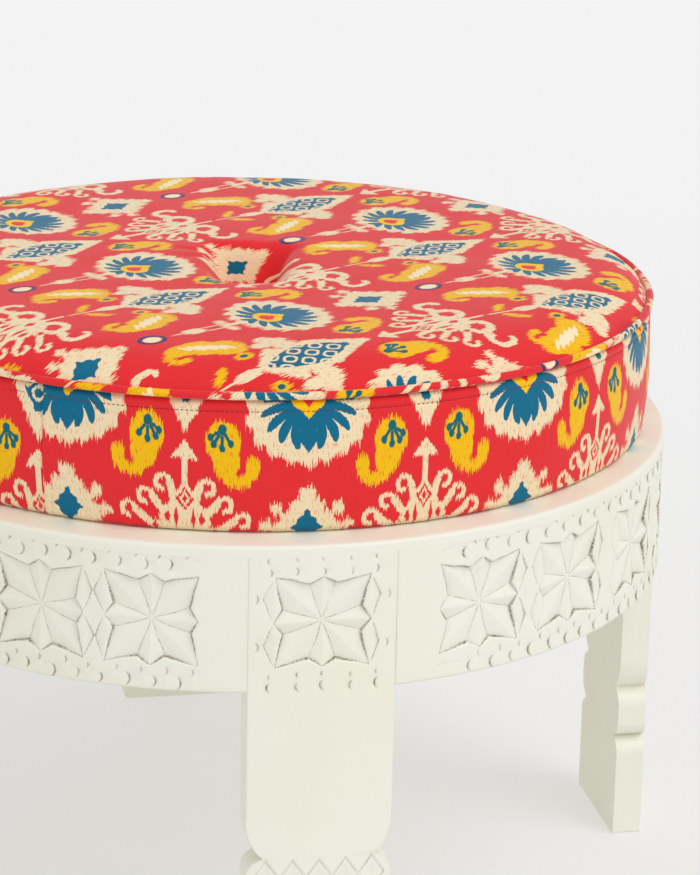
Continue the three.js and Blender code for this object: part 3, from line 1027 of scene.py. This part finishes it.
def creamShape(loose, looseHalf, half):
    lobes = cosine(bearing(loose.x, loose.y - 3) * 18) * 1.4
    halo = (loose.oval(0, 3.6, 39, 33) - lobes).least(loose.lozenge(0, 26, 18, 14))
    diamond = loose.lozenge(0, 82, 24.5, 32) - cosine(loose.y * 0.8) * 1.6
    shapes = [halo, diamond]
    shapes += loose.drawn(
        bar=[(0, -37, -28, 2.2), (3.4, -57, -42, 0.7), (0, -84, -60, 0.8)],
        oval=[(7, -39.5, 5.6, 3.6), (0, -39.5, 3, 4.5), (0, -65.5, 5.2, 9), (26.5, 79, 4.6, 3.4),
              (20, 67, 4, 4)])
    shapes += looseHalf.drawn(
        lozenge=[(0, -21, 21, 41), (0, -50, 24, 22)],
        oval=[(24, -35, 14, 9), (37, -40, 6.5, 6.5), (29, -48, 5, 8), (0, -80, 4.6, 10)],
        bar=[(0, -74, -60, 2), (0, -112, -78, 0.8)])
    # the tree: its crown, its arrow and its trunk, then three tiers of curls
    tree = half.drawn(
        ring=[(15.5, 98, 8.6, 3.2, -1), (38, 99, 7, 2.7, 1)],
        limb=[(6.9, 98, 7.4, 92, 3), (24.2, 98, 31, 94, 3.2), (45, 99, 43.6, 106, 2.5), (4, 82, 24, 92, 3)],
        oval=[(10.5, 91.5, 4.2, 3), (40, 108, 3.8, 2.6)],
        bar=[(0, 30, 119, 1.2), (0, 36, 60, 1.9)],
        lozenge=[(0, 78, 17, 27)])
    tree.append((half.x - (half.y - 24.5) * 0.72).most(half.y - 37))
    for tier in range(3):
        reach, rise = 14 + 11 * tier, 54.5 + 10.5 * tier
        tree += half.drawn(
            ring=[(reach, rise, 4.5, 1.6, 1)],
            limb=[(reach + 4.5, rise, reach + 3.7, rise + 3.4, 1.6),
                  (reach + 3.7, rise + 3.4, reach + 0.3, rise + 4.4, 1.7),
                  (reach - 4.5, rise, reach * 0.42, rise + 13, 2.5),
                  (reach * 0.5, rise + 8, reach * 0.25, rise + 17, 3.2)])
    knots = half.drawn(lozenge=[(0, 64, 1.8, 3), (5.5, 77, 1.6, 8), (0, 90, 3, 4.6), (11, 77, 2.2, 4.6),
                                (19, 85, 2.6, 3.6)])
    knots.append(without(half.lozenge(0, 64, 6, 8), half.lozenge(0, 64, 3.7, 5.4)))
    return joined([*shapes, without(joined(tree), joined(knots))])


def yellowShape(loose, looseHalf):
    # hooked sprays, seeds and the small leaves
    return joined([looseHalf.oval(9.5, -95, 9.5, 3.4, 48), *loose.drawn(
        oval=[(53.5, 23, 11.2, 13.4), (51.5, 35, 8.8, 12), (34.6, 38, 4.6, 5.6), (39, -68, 13.5, 13, -35),
              (31, -82, 12.5, 16, -22), (27, -97, 8, 11, 12), (40.8, -101.5, 3, 4),
              (57.5, -68.5, 5.2, 6.4)],
        ring=[(43, 41, 8.2, 4.1, -1), (34.5, -103, 6.6, 2.7, 1)])])


def blueShape(crisp, crispHalf):
    # petals round the gold, joined to one body
    a, b = crisp.x, (crisp.y - 1.5) * 1.16
    reach = length(a, b)
    swing = cosine((bearing(a, b) + (reach - 22) * 0.02) * 16)
    petal = (swing * 0.5 + 0.5).most(0.002) ** 0.32
    fan = ((reach - 14.5 - petal * 16.2) * 0.8).least(crisp.lozenge(0, 19, 7.5, 11))
    diamond = crisp.lozenge(0, 80, 9.8, 12.5) - cosine(crisp.y * 1.1) * 0.6
    # the leaf, with its diaper of open cells
    leaf = (abs(crispHalf.x) * (1 / 14.5)) ** 1.35 + (abs(crispHalf.y + 31) * (1 / 33)) ** 1.35
    a, b = abs(crispHalf.x) * (math.pi / 16), abs(crispHalf.y + 29) * (math.pi / 17.5)
    weave = abs(cosine(a + b) * cosine(a - b))
    return joined([fan, diamond, without((leaf - 1) * 8, (abs(weave - 0.5) - 0.2) * 5)])


def tealShape(crisp):
    # drops on the sprays, and the seeds' hearts
    rows = {"oval": [(54, 15, 2.8, 3.6), (57.5, -68.5, 2.2, 3)], "limb": []}
    for tilt, reach in ((52, 11.5), (28, 14), (0, 15), (-31, 13)):
        a, b = reach * math.sin(math.radians(tilt)), reach * math.cos(math.radians(tilt))
        rows["limb"].append((54 + a * 0.3, 15 + b * 0.3, 54 + a * 0.8, 15 + b * 0.8, 1.1))
        rows["oval"].append((54 + a * 0.8, 15 + b * 0.8, 2, 2.7))
    return joined(crisp.drawn(**rows))


def printColour(f, across, up):
    wide, high = cloth["repeatAcross"], cloth["repeatUp"]
    streaks = f.noise(f.pair(across * (1 / cloth["streakWide"]), up * (1 / cloth["streakLong"])), detail=1)
    broad = f.noise(f.pair(across * 0.16, up * 0.05, 7), detail=1)
    pull = (streaks - 0.5) * 3.4 + (broad - 0.5) * 0.5
    x = abs(across.cyclic(wide))
    fromHalf = wide / 2 - x

    def axes(fray):
        # the same pull moves the sheet's place before it wraps
        y = (up + pull * fray).cyclic(high)
        return Drawing(x, y), Drawing(fromHalf, y)

    loose, looseHalf = axes(cloth["fray"])
    _, half = axes(cloth["treeFray"])
    crisp, crispHalf = axes(cloth["crispFray"])
    gold = crisp.oval(0, -6, 11.5, 9).least(crisp.lozenge(0, -1, 8, 9))
    heart = crisp.oval(0, -7, 6, 4.2).least(crisp.lozenge(0, -4.5, 4.6, 5))
    vein = crisp.oval(33, -79, 4.2, 18, -28) - cosine((crisp.y - crisp.x * 0.4) * 1.15)
    ring = without(crisp.oval(0, -99.5, 8.2, 10.6), crisp.oval(0, -99.5, 5.5, 7.6))
    threads = f.noise(f.pair(across * 1.35, up * 0.18, 3), detail=1)
    specks = (f.noise(f.pair(across * 1.3, up * 1.3, 1)) * 2.4 - 0.8).held()
    layers = (
        (filled(creamShape(loose, looseHalf, half)), "cream"),
        (filled(yellowShape(loose, looseHalf)), "yellow"),
        (filled(cloth["fleckLevel"] - threads, 0.05) * cloth["fleckShade"], "red"),
        (specks * cloth["speckShade"], "shade"),
        (filled(blueShape(crisp, crispHalf)), "blue"),
        (filled(gold), "yellow"),
        (filled(heart), "red"),
        (filled(tealShape(crisp)), "teal"),
        (filled(vein), "cream"),
        (filled(ring), "navy"),
        (filled(crisp.oval(0, -99.5, 4.9, 6.6)), "cream"),
    )
    colour = cloth["red"]
    for share, tint in layers:
        colour = f.mix(share, colour, cloth[tint])
    return colour


def cottonFinish():
    f = Finish("printed cotton")
    u, v, _ = f.onMap("print")
    across, up = u * 1000, v * 1000
    colour = printColour(f, across, up)
    weave = f.noise(f.pair(across * 1.9, up * 1.9, 1))
    slub = f.noise(f.pair(across * 0.5, up * 1.6, 5), detail=3)
    normal = f.bump(weave + slub * 0.6, 0.4, cloth["bump"])
    return f.surface(colour, cloth["rough"] + slub * 0.16, {
        "Normal": normal, "Sheen Weight": 0.32, "Sheen Roughness": 0.35, "Specular IOR Level": 0.25})


def threadFinish():
    f = Finish("red thread")
    x, y, z = f.parts(f.place())
    ply = f.math("SINE", (x + y) * 9000 + z * 4000)
    colour = f.mix(ply * 0.25 + 0.35, cloth["thread"], cloth["threadShade"])
    return f.surface(colour, 0.6, {"Normal": f.bump(ply, 0.5, 0.0001)})


finishes["cotton"] = cottonFinish()
finishes["thread"] = threadFinish()
print("finishes are mixed")


# Cushion: heights are above the base's top, in millimetres

coverLow, coverHigh = [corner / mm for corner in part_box("cushion_cover_top")]
boxLow, boxHigh = [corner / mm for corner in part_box("cushion_cover_boxing")]
weltLow, weltHigh = [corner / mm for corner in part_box("cushion_welt")]
buttonLow, buttonHigh = [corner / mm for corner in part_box("tuft_button")]

cushion = SimpleNamespace(
    x=(coverLow.x + coverHigh.x) / 2,
    y=(coverLow.y + coverHigh.y) / 2,
    panelRadius=(coverHigh.x - coverLow.x) / 2,
    footRadius=283.2,
    seamRadius=284.7,
    boxing=boxHigh.z - baseTop,
    rest=boxLow.z - baseTop,
    bulge=2.5,
    crownPower=16,
    crownTop=coverHigh.z - baseTop,
    edgeHeight=92.5,
    tuftDepth=38,
    tuftFloor=11,
    tuftTurn=0.1745,      # towards the front leg's side
    tuftSide=13.5,
    tuftFront=47,
    tuftFrontPower=2.6,
    tuftBack=9,
    around=720,
    seamAzimuth=math.radians(-37.4),
    crowdReach=24,        # columns draw together this near the upright seam
    crowdPower=1.6,
    stitchDrop=7,         # below the seam under the welt
    seamOffset=6,         # from the upright seam to the line sewn beside it
)

outline = SimpleNamespace(
    # rows of corners in each zone
    under=14, turn=5, side=44, sideTop=16, shoulder=46, field=26, tuft=84,
    footInset=4,          # where the foot starts to turn up
    footOut=3.2,
    footUp=3.0,
    footTurn=(0.2, 1.2),     # radians
    sideFrom=2.6,
    fineFrom=10,          # below the seam, from where the rows are closer
    creaseFrom=3,         # the cloth turns in to the seam
    creaseIn=3.6,
    creaseUp=3.4,
    seamInset=0.1,
    lip=1.6,
    shoulderShare=0.26,
    shoulderPower=1.7,
    tuftFrom=100,
    tuftEnd=2,
)


def atCushion(radius, azimuth, height):
    return placesAt(radius, azimuth, height, cushion.x, cushion.y) * mm


def crownRise(radius):
    share = np.clip(radius / cushion.panelRadius, 0, 1)
    return (cushion.crownTop - cushion.edgeHeight) * (1 - share ** cushion.crownPower)


def boxingRadius(height):
    share = height / cushion.boxing
    return (cushion.footRadius + (cushion.seamRadius - cushion.footRadius) * share
            + cushion.bulge * np.sin(np.pi * np.clip(share, 0, 1)))


def cushionProfile():
    # radius, height and zone: 0 underneath, 1 boxing, 2 top
    rest, box, edge = cushion.rest, cushion.boxing, cushion.panelRadius
    fine, crease = box - outline.fineFrom, box - outline.creaseFrom
    foot = cushion.footRadius - outline.footInset
    under = [(r, rest, 0) for r in np.linspace(0, foot, outline.under)]
    turnUp = [(foot + outline.footOut * math.sin(a), rest + outline.footUp * (1 - math.cos(a)), 1)
              for a in np.linspace(*outline.footTurn, outline.turn)]
    heights = [*np.linspace(rest + outline.sideFrom, fine, outline.side),
               *np.linspace(fine, crease, outline.sideTop)[1:]]
    side = [(boxingRadius(h), h, 1) for h in heights]
    turnIn = [(cushion.seamRadius - outline.seamInset - outline.creaseIn * t ** 2,
               crease + outline.creaseUp * t, 1) for t in (0.25, 0.5, 0.75, 1)]
    turnIn.append((edge - outline.lip, box + outline.lip, 2))
    inwards = np.linspace(0, 1, outline.shoulder) ** outline.shoulderPower
    shoulder = edge * (1 - inwards * outline.shoulderShare)
    field = np.linspace(shoulder[-1], outline.tuftFrom, outline.field)[1:]
    tuft = np.linspace(outline.tuftFrom, outline.tuftEnd, outline.tuft)[1:]
    top = [(r, cushion.edgeHeight + crownRise(r), 2) for r in (*shoulder, *field, *tuft, 0)]
    return np.array(under + turnUp + side + turnIn + top, float)


def fabricRun(radius):
    # length of cloth from the middle of the panel, as if it had no tuft
    r = np.linspace(0, cushion.panelRadius, 1500)
    run = np.concatenate([[0], np.cumsum(np.hypot(np.diff(r), np.diff(crownRise(r))))])
    return np.interp(radius, r, run)


printPlace = SimpleNamespace(
    gatherAcross=1.0,
    gatherAhead=60,
    gatherPowers=(1.7, 1.4),
    pastSeam=2,              # cloth of the top that lies beyond its own edge
    # how the sewer pulled the top off square: by place, then by its products
    pullX=(1.5, 1.3, 5.9, 1.6, -3.6, 6.3),
    pullY=(0, 4.9, 14.7, 4.6, 7.8, 20.7),
    topTurn=math.radians(-62.83),
    topAcross=142.29 + 3.5,
    topUp=-89.60,
    topScaleAcross=155 / 152.5,
    topScaleUp=233 / 228.6,
    boxAzimuth=math.radians(-2.2),
    boxRadius=285.5,
    boxScale=155 / 157.2,
    boxUp=85.0,
    climb=7,
    climbEnd=math.radians(-13),
    endAcross=35,
    endUp=-14,
    underPlace=(60, 20),
    weltPlace=(40, 12),
    buttonPlace=(22, 30),
)


def tuftAxes(x, y):
    # across and towards the front of the tuft; it turns its own result back
    cos, sin = math.cos(cushion.tuftTurn), math.sin(cushion.tuftTurn)
    return x * cos - y * sin, -x * sin - y * cos


def tuftDip(x, y):
    # share of the tuft's depth: its well is longer towards the front, where it is leant on
    across, ahead = tuftAxes(x, y)

    def past(distance, reach, power=2):
        return bell(np.maximum(distance - cushion.tuftFloor, 0), reach, power)

    return (past(abs(across), cushion.tuftSide) * past(ahead, cushion.tuftFront, cushion.tuftFrontPower)
            * past(-ahead, cushion.tuftBack))


def topMap(azimuth, run):
    x, y = run * np.sin(azimuth), -run * np.cos(azimuth)
    # the tuft gathers the cloth
    dip = tuftDip(x, y)
    across, ahead = tuftAxes(x, y)
    acrossPower, aheadPower = printPlace.gatherPowers
    x, y = tuftAxes(across * (1 + printPlace.gatherAcross * dip ** acrossPower),
                    ahead + printPlace.gatherAhead * dip ** aheadPower)
    a, b = x / cushion.panelRadius, y / cushion.panelRadius
    terms = (1, a, b, a * a, a * b, b * b)
    x = x - sum(pull * term for pull, term in zip(printPlace.pullX, terms))
    y = y - sum(pull * term for pull, term in zip(printPlace.pullY, terms))
    cos, sin = math.cos(printPlace.topTurn), math.sin(printPlace.topTurn)
    return ((x * cos + y * sin - printPlace.topAcross) * printPlace.topScaleAcross,
            (y * cos - x * sin - printPlace.topUp) * printPlace.topScaleUp)


def boxMap(turn, height):
    # the strip climbs towards its seam, and its far end meets it lower and further on
    start = cushion.seamAzimuth
    climb = np.clip((printPlace.climbEnd - turn) / (printPlace.climbEnd - start), 0, 1)
    behind = np.clip((turn - start - quarter) / math.pi, 0, 1)
    across = ((turn - printPlace.boxAzimuth) * printPlace.boxRadius
              + printPlace.endAcross * behind)
    up = (printPlace.boxUp - height + printPlace.climb * climb * (2 - climb)
          + printPlace.endUp * behind)
    return across * printPlace.boxScale, up * printPlace.boxScale


# each noise has a height, a size and a seed, each ridge or groove a height and a width
wrinkles = {
    "slack": (0.9, 46, 5),
    "fineSlack": (0.22, 17, 6),
    "puckers": (1, 9, 7),
    "puckerTop": (0.45, 9),
    "puckerFoot": (0.35, 9),
    "stitch": (-0.55, 0.9),
    "fold": (0.35, 2.2),
    "foldDrop": 3.6,
    "seam": (-1.3, 0.9),
    "seamFold": (0.5, 2.2),
    "seamFoldOffset": 3,
    "seamStitch": (-0.5, 0.9),
    "gather": (0.8, 22),
    "gathers": (1, 13, 8),
    "broad": (1.1, 88, 11),
    "broadFine": (0.45, 37, 12),
    "rim": (0.5, 11, 13),
    "rimReach": (1, 12),
    "rimFade": 9,
    "pleats": 9,
    "pleatSeed": 21,
    "pleatWidth": (2.2, 3.6),
    "pleatFan": 0.05,        # how much a pleat widens outwards
    "pleatDepth": (1.2, 2.4),
    "pleatReach": (40, 66),
    "noiseShift": 900,       # keeps the noises' join away from the front
    "topShift": 400,
}


def bumps(kind, across, up):
    height, size, seed = wrinkles[kind]
    return height * softNoise(across, up, size, seed)


def ridge(kind, distance):
    height, width = wrinkles[kind]
    return height * bell(distance, width)


def shortWay(angle):
    # the same angle, between minus and plus half a turn
    return (angle + math.pi) % (2 * math.pi) - math.pi


def cushionWrinkles(radius, height, zone, azimuth):
    # pull and slack of the cloth; gives how far each point moves out and up
    arc = azimuth * cushion.seamRadius + wrinkles["noiseShift"]
    underSeam = cushion.boxing - height
    # boxing: soft bulges, puckers along both seams, the stitched line
    slack = bumps("slack", arc, height * 1.3) + bumps("fineSlack", arc, height)
    out = slack * np.sin(np.pi * np.clip(height / cushion.boxing, 0, 1))
    puckered = ridge("puckerTop", underSeam) + ridge("puckerFoot", height)
    out += bumps("puckers", arc, height * 0.25) * puckered
    out += (ridge("stitch", underSeam - cushion.stitchDrop)
            + ridge("fold", underSeam - wrinkles["foldDrop"]))
    # the upright seam and the line sewn beside it
    offSeam = shortWay(azimuth - cushion.seamAzimuth) * cushion.seamRadius
    out += ridge("seam", offSeam) + ridge("seamFold", offSeam - wrinkles["seamFoldOffset"])
    out += ridge("seamStitch", offSeam - cushion.seamOffset)
    out += ridge("gather", offSeam) * bumps("gathers", height, offSeam * 0.3)
    # top: broad unevenness, puckers at the welt, pleats round the tuft
    x, y = radius * np.sin(azimuth), -radius * np.cos(azimuth)
    a, b = x + wrinkles["topShift"], y + wrinkles["topShift"]
    tuft = tuftDip(x, y)
    fromEdge = cushion.panelRadius - radius
    lift = (bumps("broad", a, b) + bumps("broadFine", a, b)) * (1 - tuft)
    lift = lift * np.clip(fromEdge / wrinkles["rimFade"], 0, 1)
    lift += bumps("rim", arc, fromEdge * 0.4) * ridge("rimReach", fromEdge)
    luck = np.random.default_rng(wrinkles["pleatSeed"])
    for place in np.sort(luck.uniform(0, 2 * math.pi, wrinkles["pleats"])):
        width = luck.uniform(*wrinkles["pleatWidth"]) + radius * wrinkles["pleatFan"]
        depth = luck.uniform(*wrinkles["pleatDepth"])
        reach = luck.uniform(*wrinkles["pleatReach"])
        lift -= depth * bell(shortWay(azimuth - place) * radius, width) * bell(radius, reach) * (1 - tuft)
    lift -= cushion.tuftDepth * tuft
    return np.where(zone == 1, out, 0), np.where(zone == 2, lift, 0)


def crowdedAtSeam(azimuth):
    # columns draw together at the upright seam, where the cloth has its finest folds
    reach = cushion.crowdReach / cushion.seamRadius
    share = np.clip((azimuth - cushion.seamAzimuth) / reach, -1, 1)
    return azimuth + reach * (np.sign(share) * abs(share) ** cushion.crowdPower - share)


def addCushion():
    profile = cushionProfile()
    piece = added("cushionCover", bpy.ops.mesh.primitive_circle_add, vertices=len(profile), radius=1,
                  fill_type="NOTHING")
    # the circle opens between its last and first corner and becomes the cushion's outline
    selectEdges(piece, lambda a, b, ends: (ends.min(1) == 0) & (ends.max(1) == len(profile) - 1))
    inEdit(piece, lambda: bpy.ops.mesh.delete(type="EDGE"))
    movePoints(piece, placesAt(profile[:, 0], 0, profile[:, 1]) * mm)
    writeFloats(piece, "station", np.arange(len(profile)))
    inEdit(piece,
           lambda: bpy.ops.mesh.select_all(action="SELECT"),
           lambda: bpy.ops.mesh.spin(steps=cushion.around, angle=2 * math.pi, center=(0, 0, 0),
                                     axis=(0, 0, 1)),
           lambda: bpy.ops.mesh.select_all(action="SELECT"),
           lambda: bpy.ops.mesh.remove_doubles(threshold=near / 10),
           outward, kind="VERT")
    station = np.rint(readAll(piece.data.attributes["station"].data, "value")).astype(int)
    radius, height, zone = profile[station].T
    azimuth = crowdedAtSeam(azimuthOf(pointsOf(piece)))
    out, lift = cushionWrinkles(radius, height, zone, azimuth)
    movePoints(piece, atCushion(radius + out, azimuth, baseTop + (height + lift)))

    # the map: each face takes the turn of its own middle, so that no face runs across the join
    owners, faces = cornerPoints(piece), cornerFaces(piece)
    azimuth, radius, height, zone = azimuth[owners], radius[owners], height[owners], zone[owners]
    inward = np.minimum(radius, 1)
    faceTurn = np.arctan2(np.bincount(faces, np.sin(azimuth) * inward),
                          np.bincount(faces, np.cos(azimuth) * inward))[faces]
    start = cushion.seamAzimuth
    turn = azimuth + 2 * math.pi * np.rint((faceTurn - azimuth) / (2 * math.pi))
    turn = turn + ((faceTurn - start) % (2 * math.pi) + start - faceTurn)
    faceZone = np.rint(np.bincount(faces, zone) / np.bincount(faces))[faces]
    under = (radius * np.sin(azimuth) + printPlace.underPlace[0],
             -radius * np.cos(azimuth) + printPlace.underPlace[1])
    run = fabricRun(radius) + (zone != 2) * printPlace.pastSeam
    maps = zip(topMap(azimuth, run), boxMap(turn, height), under)
    across, up = [np.select([faceZone == 2, faceZone == 1], axis[:2], axis[2]) for axis in maps]
    writeMap(piece, "print", across * mm, up * mm)
    piece.data.attributes.remove(piece.data.attributes["station"])
    coat(piece, "cotton", 60)
    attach(piece, "cushion")
    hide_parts("cushion_foam", "cushion_cover_top", "cushion_cover_boxing", "cushion_cover_bottom")


# each unevenness has a height, a size and a seed
welt = {
    "thickness": weltHigh.z - weltLow.z,
    "around": 900,
    "sides": 14,
    "swell": (0.05, 14, 31),
    "dents": (0.03, 4, 32),
    "sway": (0.5, 60, 33),
    "stray": (0.4, 40, 34),
    "slant": math.radians(45),   # of the print, as the strip is cut on the bias
}


def addWelt():
    middle = (weltLow.z + weltHigh.z) / 2
    piece = added("cushionWelt", bpy.ops.mesh.primitive_torus_add, major_segments=welt["around"],
                  minor_segments=welt["sides"], major_radius=cushion.seamRadius * mm,
                  minor_radius=welt["thickness"] / 2 * mm)
    spots = pointsOf(piece) / mm
    azimuth = azimuthOf(spots)
    wound = np.arctan2(spots[:, 2], np.hypot(spots[:, 0], spots[:, 1]) - cushion.seamRadius)
    arc = azimuth * cushion.seamRadius + wrinkles["noiseShift"]

    def stray(kind, up):
        height, size, seed = welt[kind]
        return height * softNoise(arc, up, size, seed)

    level = arc * 0
    half = welt["thickness"] / 2 * (1 + stray("swell", level) + stray("dents", wound * 3))
    radius = cushion.seamRadius + half * np.cos(wound) + stray("stray", level)
    movePoints(piece, atCushion(radius, azimuth, middle + half * np.sin(wound) + stray("sway", level)))
    owners, faces = cornerPoints(piece), cornerFaces(piece)
    firstCorner = np.searchsorted(faces, faces)

    def unrolled(values):
        # turns of a face's corners stay together where the ring closes
        here = values[owners]
        return here + 2 * math.pi * np.rint((here[firstCorner] - here) / (2 * math.pi))

    run = unrolled(azimuth) * cushion.seamRadius
    wrap = unrolled(wound) * welt["thickness"] / 2
    cos, sin = math.cos(welt["slant"]), math.sin(welt["slant"])
    writeMap(piece, "print", (run * cos - wrap * sin + printPlace.weltPlace[0]) * mm,
             (run * sin + wrap * cos + printPlace.weltPlace[1]) * mm)
    coat(piece, "cotton", 60)
    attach(piece, "cushion")
    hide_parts("cushion_welt")


button = SimpleNamespace(
    rim=0.35,             # height of its widest place, of its whole height
    fullness=0.8,
    folds=11,
    foldDepth=0.03,
)


def addButton():
    wide = (buttonHigh.x - buttonLow.x) / 2
    high = buttonHigh.z - buttonLow.z
    piece = added("buttonCover", bpy.ops.mesh.primitive_uv_sphere_add, segments=64, ring_count=32, radius=1)
    spots, owners = pointsOf(piece), cornerPoints(piece)
    azimuth, level = azimuthOf(spots), spots[:, 2]
    reach = np.hypot(spots[:, 0], spots[:, 1])
    dome = button.rim + np.where(level > 0, 1 - button.rim, button.rim) * level
    folds = 1 + button.foldDepth * np.cos(azimuth * button.folds) * np.clip(1 - abs(level) * 2, 0, 1)
    movePoints(piece, atCushion(wide * reach ** button.fullness * folds, azimuth,
                                buttonLow.z + high * dome))
    across, up = topMap(azimuth[owners], reach[owners] * wide)
    writeMap(piece, "print", (across + printPlace.buttonPlace[0]) * mm,
             (up + printPlace.buttonPlace[1]) * mm)
    coat(piece, "cotton", 60)
    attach(piece, "cushion")
    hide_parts("tuft_button")


stitching = SimpleNamespace(
    pitch=3.2,
    length=2.3,
    thick=0.55,
    proud=0.05,
    fromFoot=4,
    fromRing=3,
)


def addStitches():
    # one stitch, repeated by an array, then each copy is laid on the line it belongs to
    drop = cushion.boxing - cushion.stitchDrop
    ring = int(2 * math.pi * boxingRadius(drop) / stitching.pitch)
    heights = np.arange(stitching.fromFoot, drop - stitching.fromRing, stitching.pitch)
    count = ring + len(heights)
    piece = added("topstitching", bpy.ops.mesh.primitive_uv_sphere_add, radius=0.5,
                  segments=8, ring_count=6)
    shape = pointsOf(piece)
    rows = piece.modifiers.new("rows", "ARRAY")
    rows.count = count
    rows.use_relative_offset = False
    only(piece)
    bpy.ops.object.modifier_apply(modifier=rows.name)
    which = np.repeat(np.arange(count), len(shape))
    shape = np.tile(shape, (count, 1))
    upright = which >= ring
    azimuth = cushion.seamAzimuth + np.where(
        upright, cushion.seamOffset / cushion.seamRadius, (which + 0.5) * 2 * math.pi / ring)
    height = np.where(upright, heights[np.clip(which - ring, 0, None)], drop)
    drawn, _ = cushionWrinkles(boxingRadius(height), height, np.ones_like(height), azimuth)
    long, wide = stitching.length, stitching.thick
    x = shape[:, 0] * np.where(upright, wide, long)
    y = shape[:, 1] * wide - (boxingRadius(height) + drawn + stitching.proud)
    z = shape[:, 2] * np.where(upright, long, wide) + height
    places = np.stack([cushion.x + x * np.cos(azimuth) - y * np.sin(azimuth),
                       cushion.y + x * np.sin(azimuth) + y * np.cos(azimuth), baseTop + z], -1)
    movePoints(piece, places * mm)
    coat(piece, "thread", 80)
    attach(piece, "cushion")


addCushion()
addWelt()
addButton()
addStitches()
print("cushion is sewn")


# Floor, backdrop and lights

studio = SimpleNamespace(
    floor=linear(168, 168, 168),
    # the floor's glow near the camera and far off is painted light; back is also the backdrop's colour
    near=linear(232, 231, 229),
    paintedFloorLight=0.56,
    back=linear(244, 244, 244),
    size=30,
    sky=0.65,
    key=1.14,
    keyTilt=(math.radians(27), math.radians(30), 0),
    keySpread=math.radians(42),
    fill=12,
    fillPlace=(-2.6, -2.4, 0.5),
    fillAim=(0, 0, 0.3),
    fillSize=2.4,
)


def floorFinish():
    f = Finish("studio floor")
    _, y, _ = f.parts(f.place())
    # the floor glows: painted light that fills in the shadows, darker towards the camera as painted falloff
    paintedFloorLight = f.mix(((y + 0.5) * 0.4).held(), studio.near, studio.back)
    return f.surface(studio.floor, 0.85, {"Emission Color": paintedFloorLight, "Emission Strength": studio.paintedFloorLight})


def addStage():
    floor = added("studioFloor", bpy.ops.mesh.primitive_plane_add, size=studio.size)
    floor.data.materials.append(floorFinish())


def addLight():
    key = added("windowLight", bpy.ops.object.light_add, type="SUN", rotation=studio.keyTilt)
    key.data.energy = studio.key
    key.data.angle = studio.keySpread
    fill = added("fillLamp", bpy.ops.object.light_add, type="AREA", location=studio.fillPlace)
    fill.data.shape = "DISK"
    fill.data.size = studio.fillSize
    fill.data.energy = studio.fill
    fill.rotation_mode = "QUATERNION"
    aim = Vector(studio.fillAim) - Vector(studio.fillPlace)
    fill.rotation_quaternion = aim.to_track_quat("-Z", "Y")


def addSky():
    # lights the object with one grey, and shows the camera another
    world = bpy.data.worlds.new("studio")
    bpy.context.scene.world = world
    world.use_nodes = True
    nodes, links = world.node_tree.nodes, world.node_tree.links
    nodes.clear()
    path = nodes.new("ShaderNodeLightPath")
    blend = nodes.new("ShaderNodeMixShader")
    output = nodes.new("ShaderNodeOutputWorld")
    links.new(path.outputs["Is Camera Ray"], blend.inputs[0])
    for slot, (colour, strength) in enumerate((((1, 1, 1, 1), studio.sky), (studio.back, 1)), 1):
        shade = nodes.new("ShaderNodeBackground")
        shade.inputs["Color"].default_value = colour
        shade.inputs["Strength"].default_value = strength
        links.new(shade.outputs[0], blend.inputs[slot])
    links.new(blend.outputs[0], output.inputs[0])


addStage()
addLight()
addSky()
bpy.context.scene.view_settings.view_transform = "Standard"
print("studio is lit")
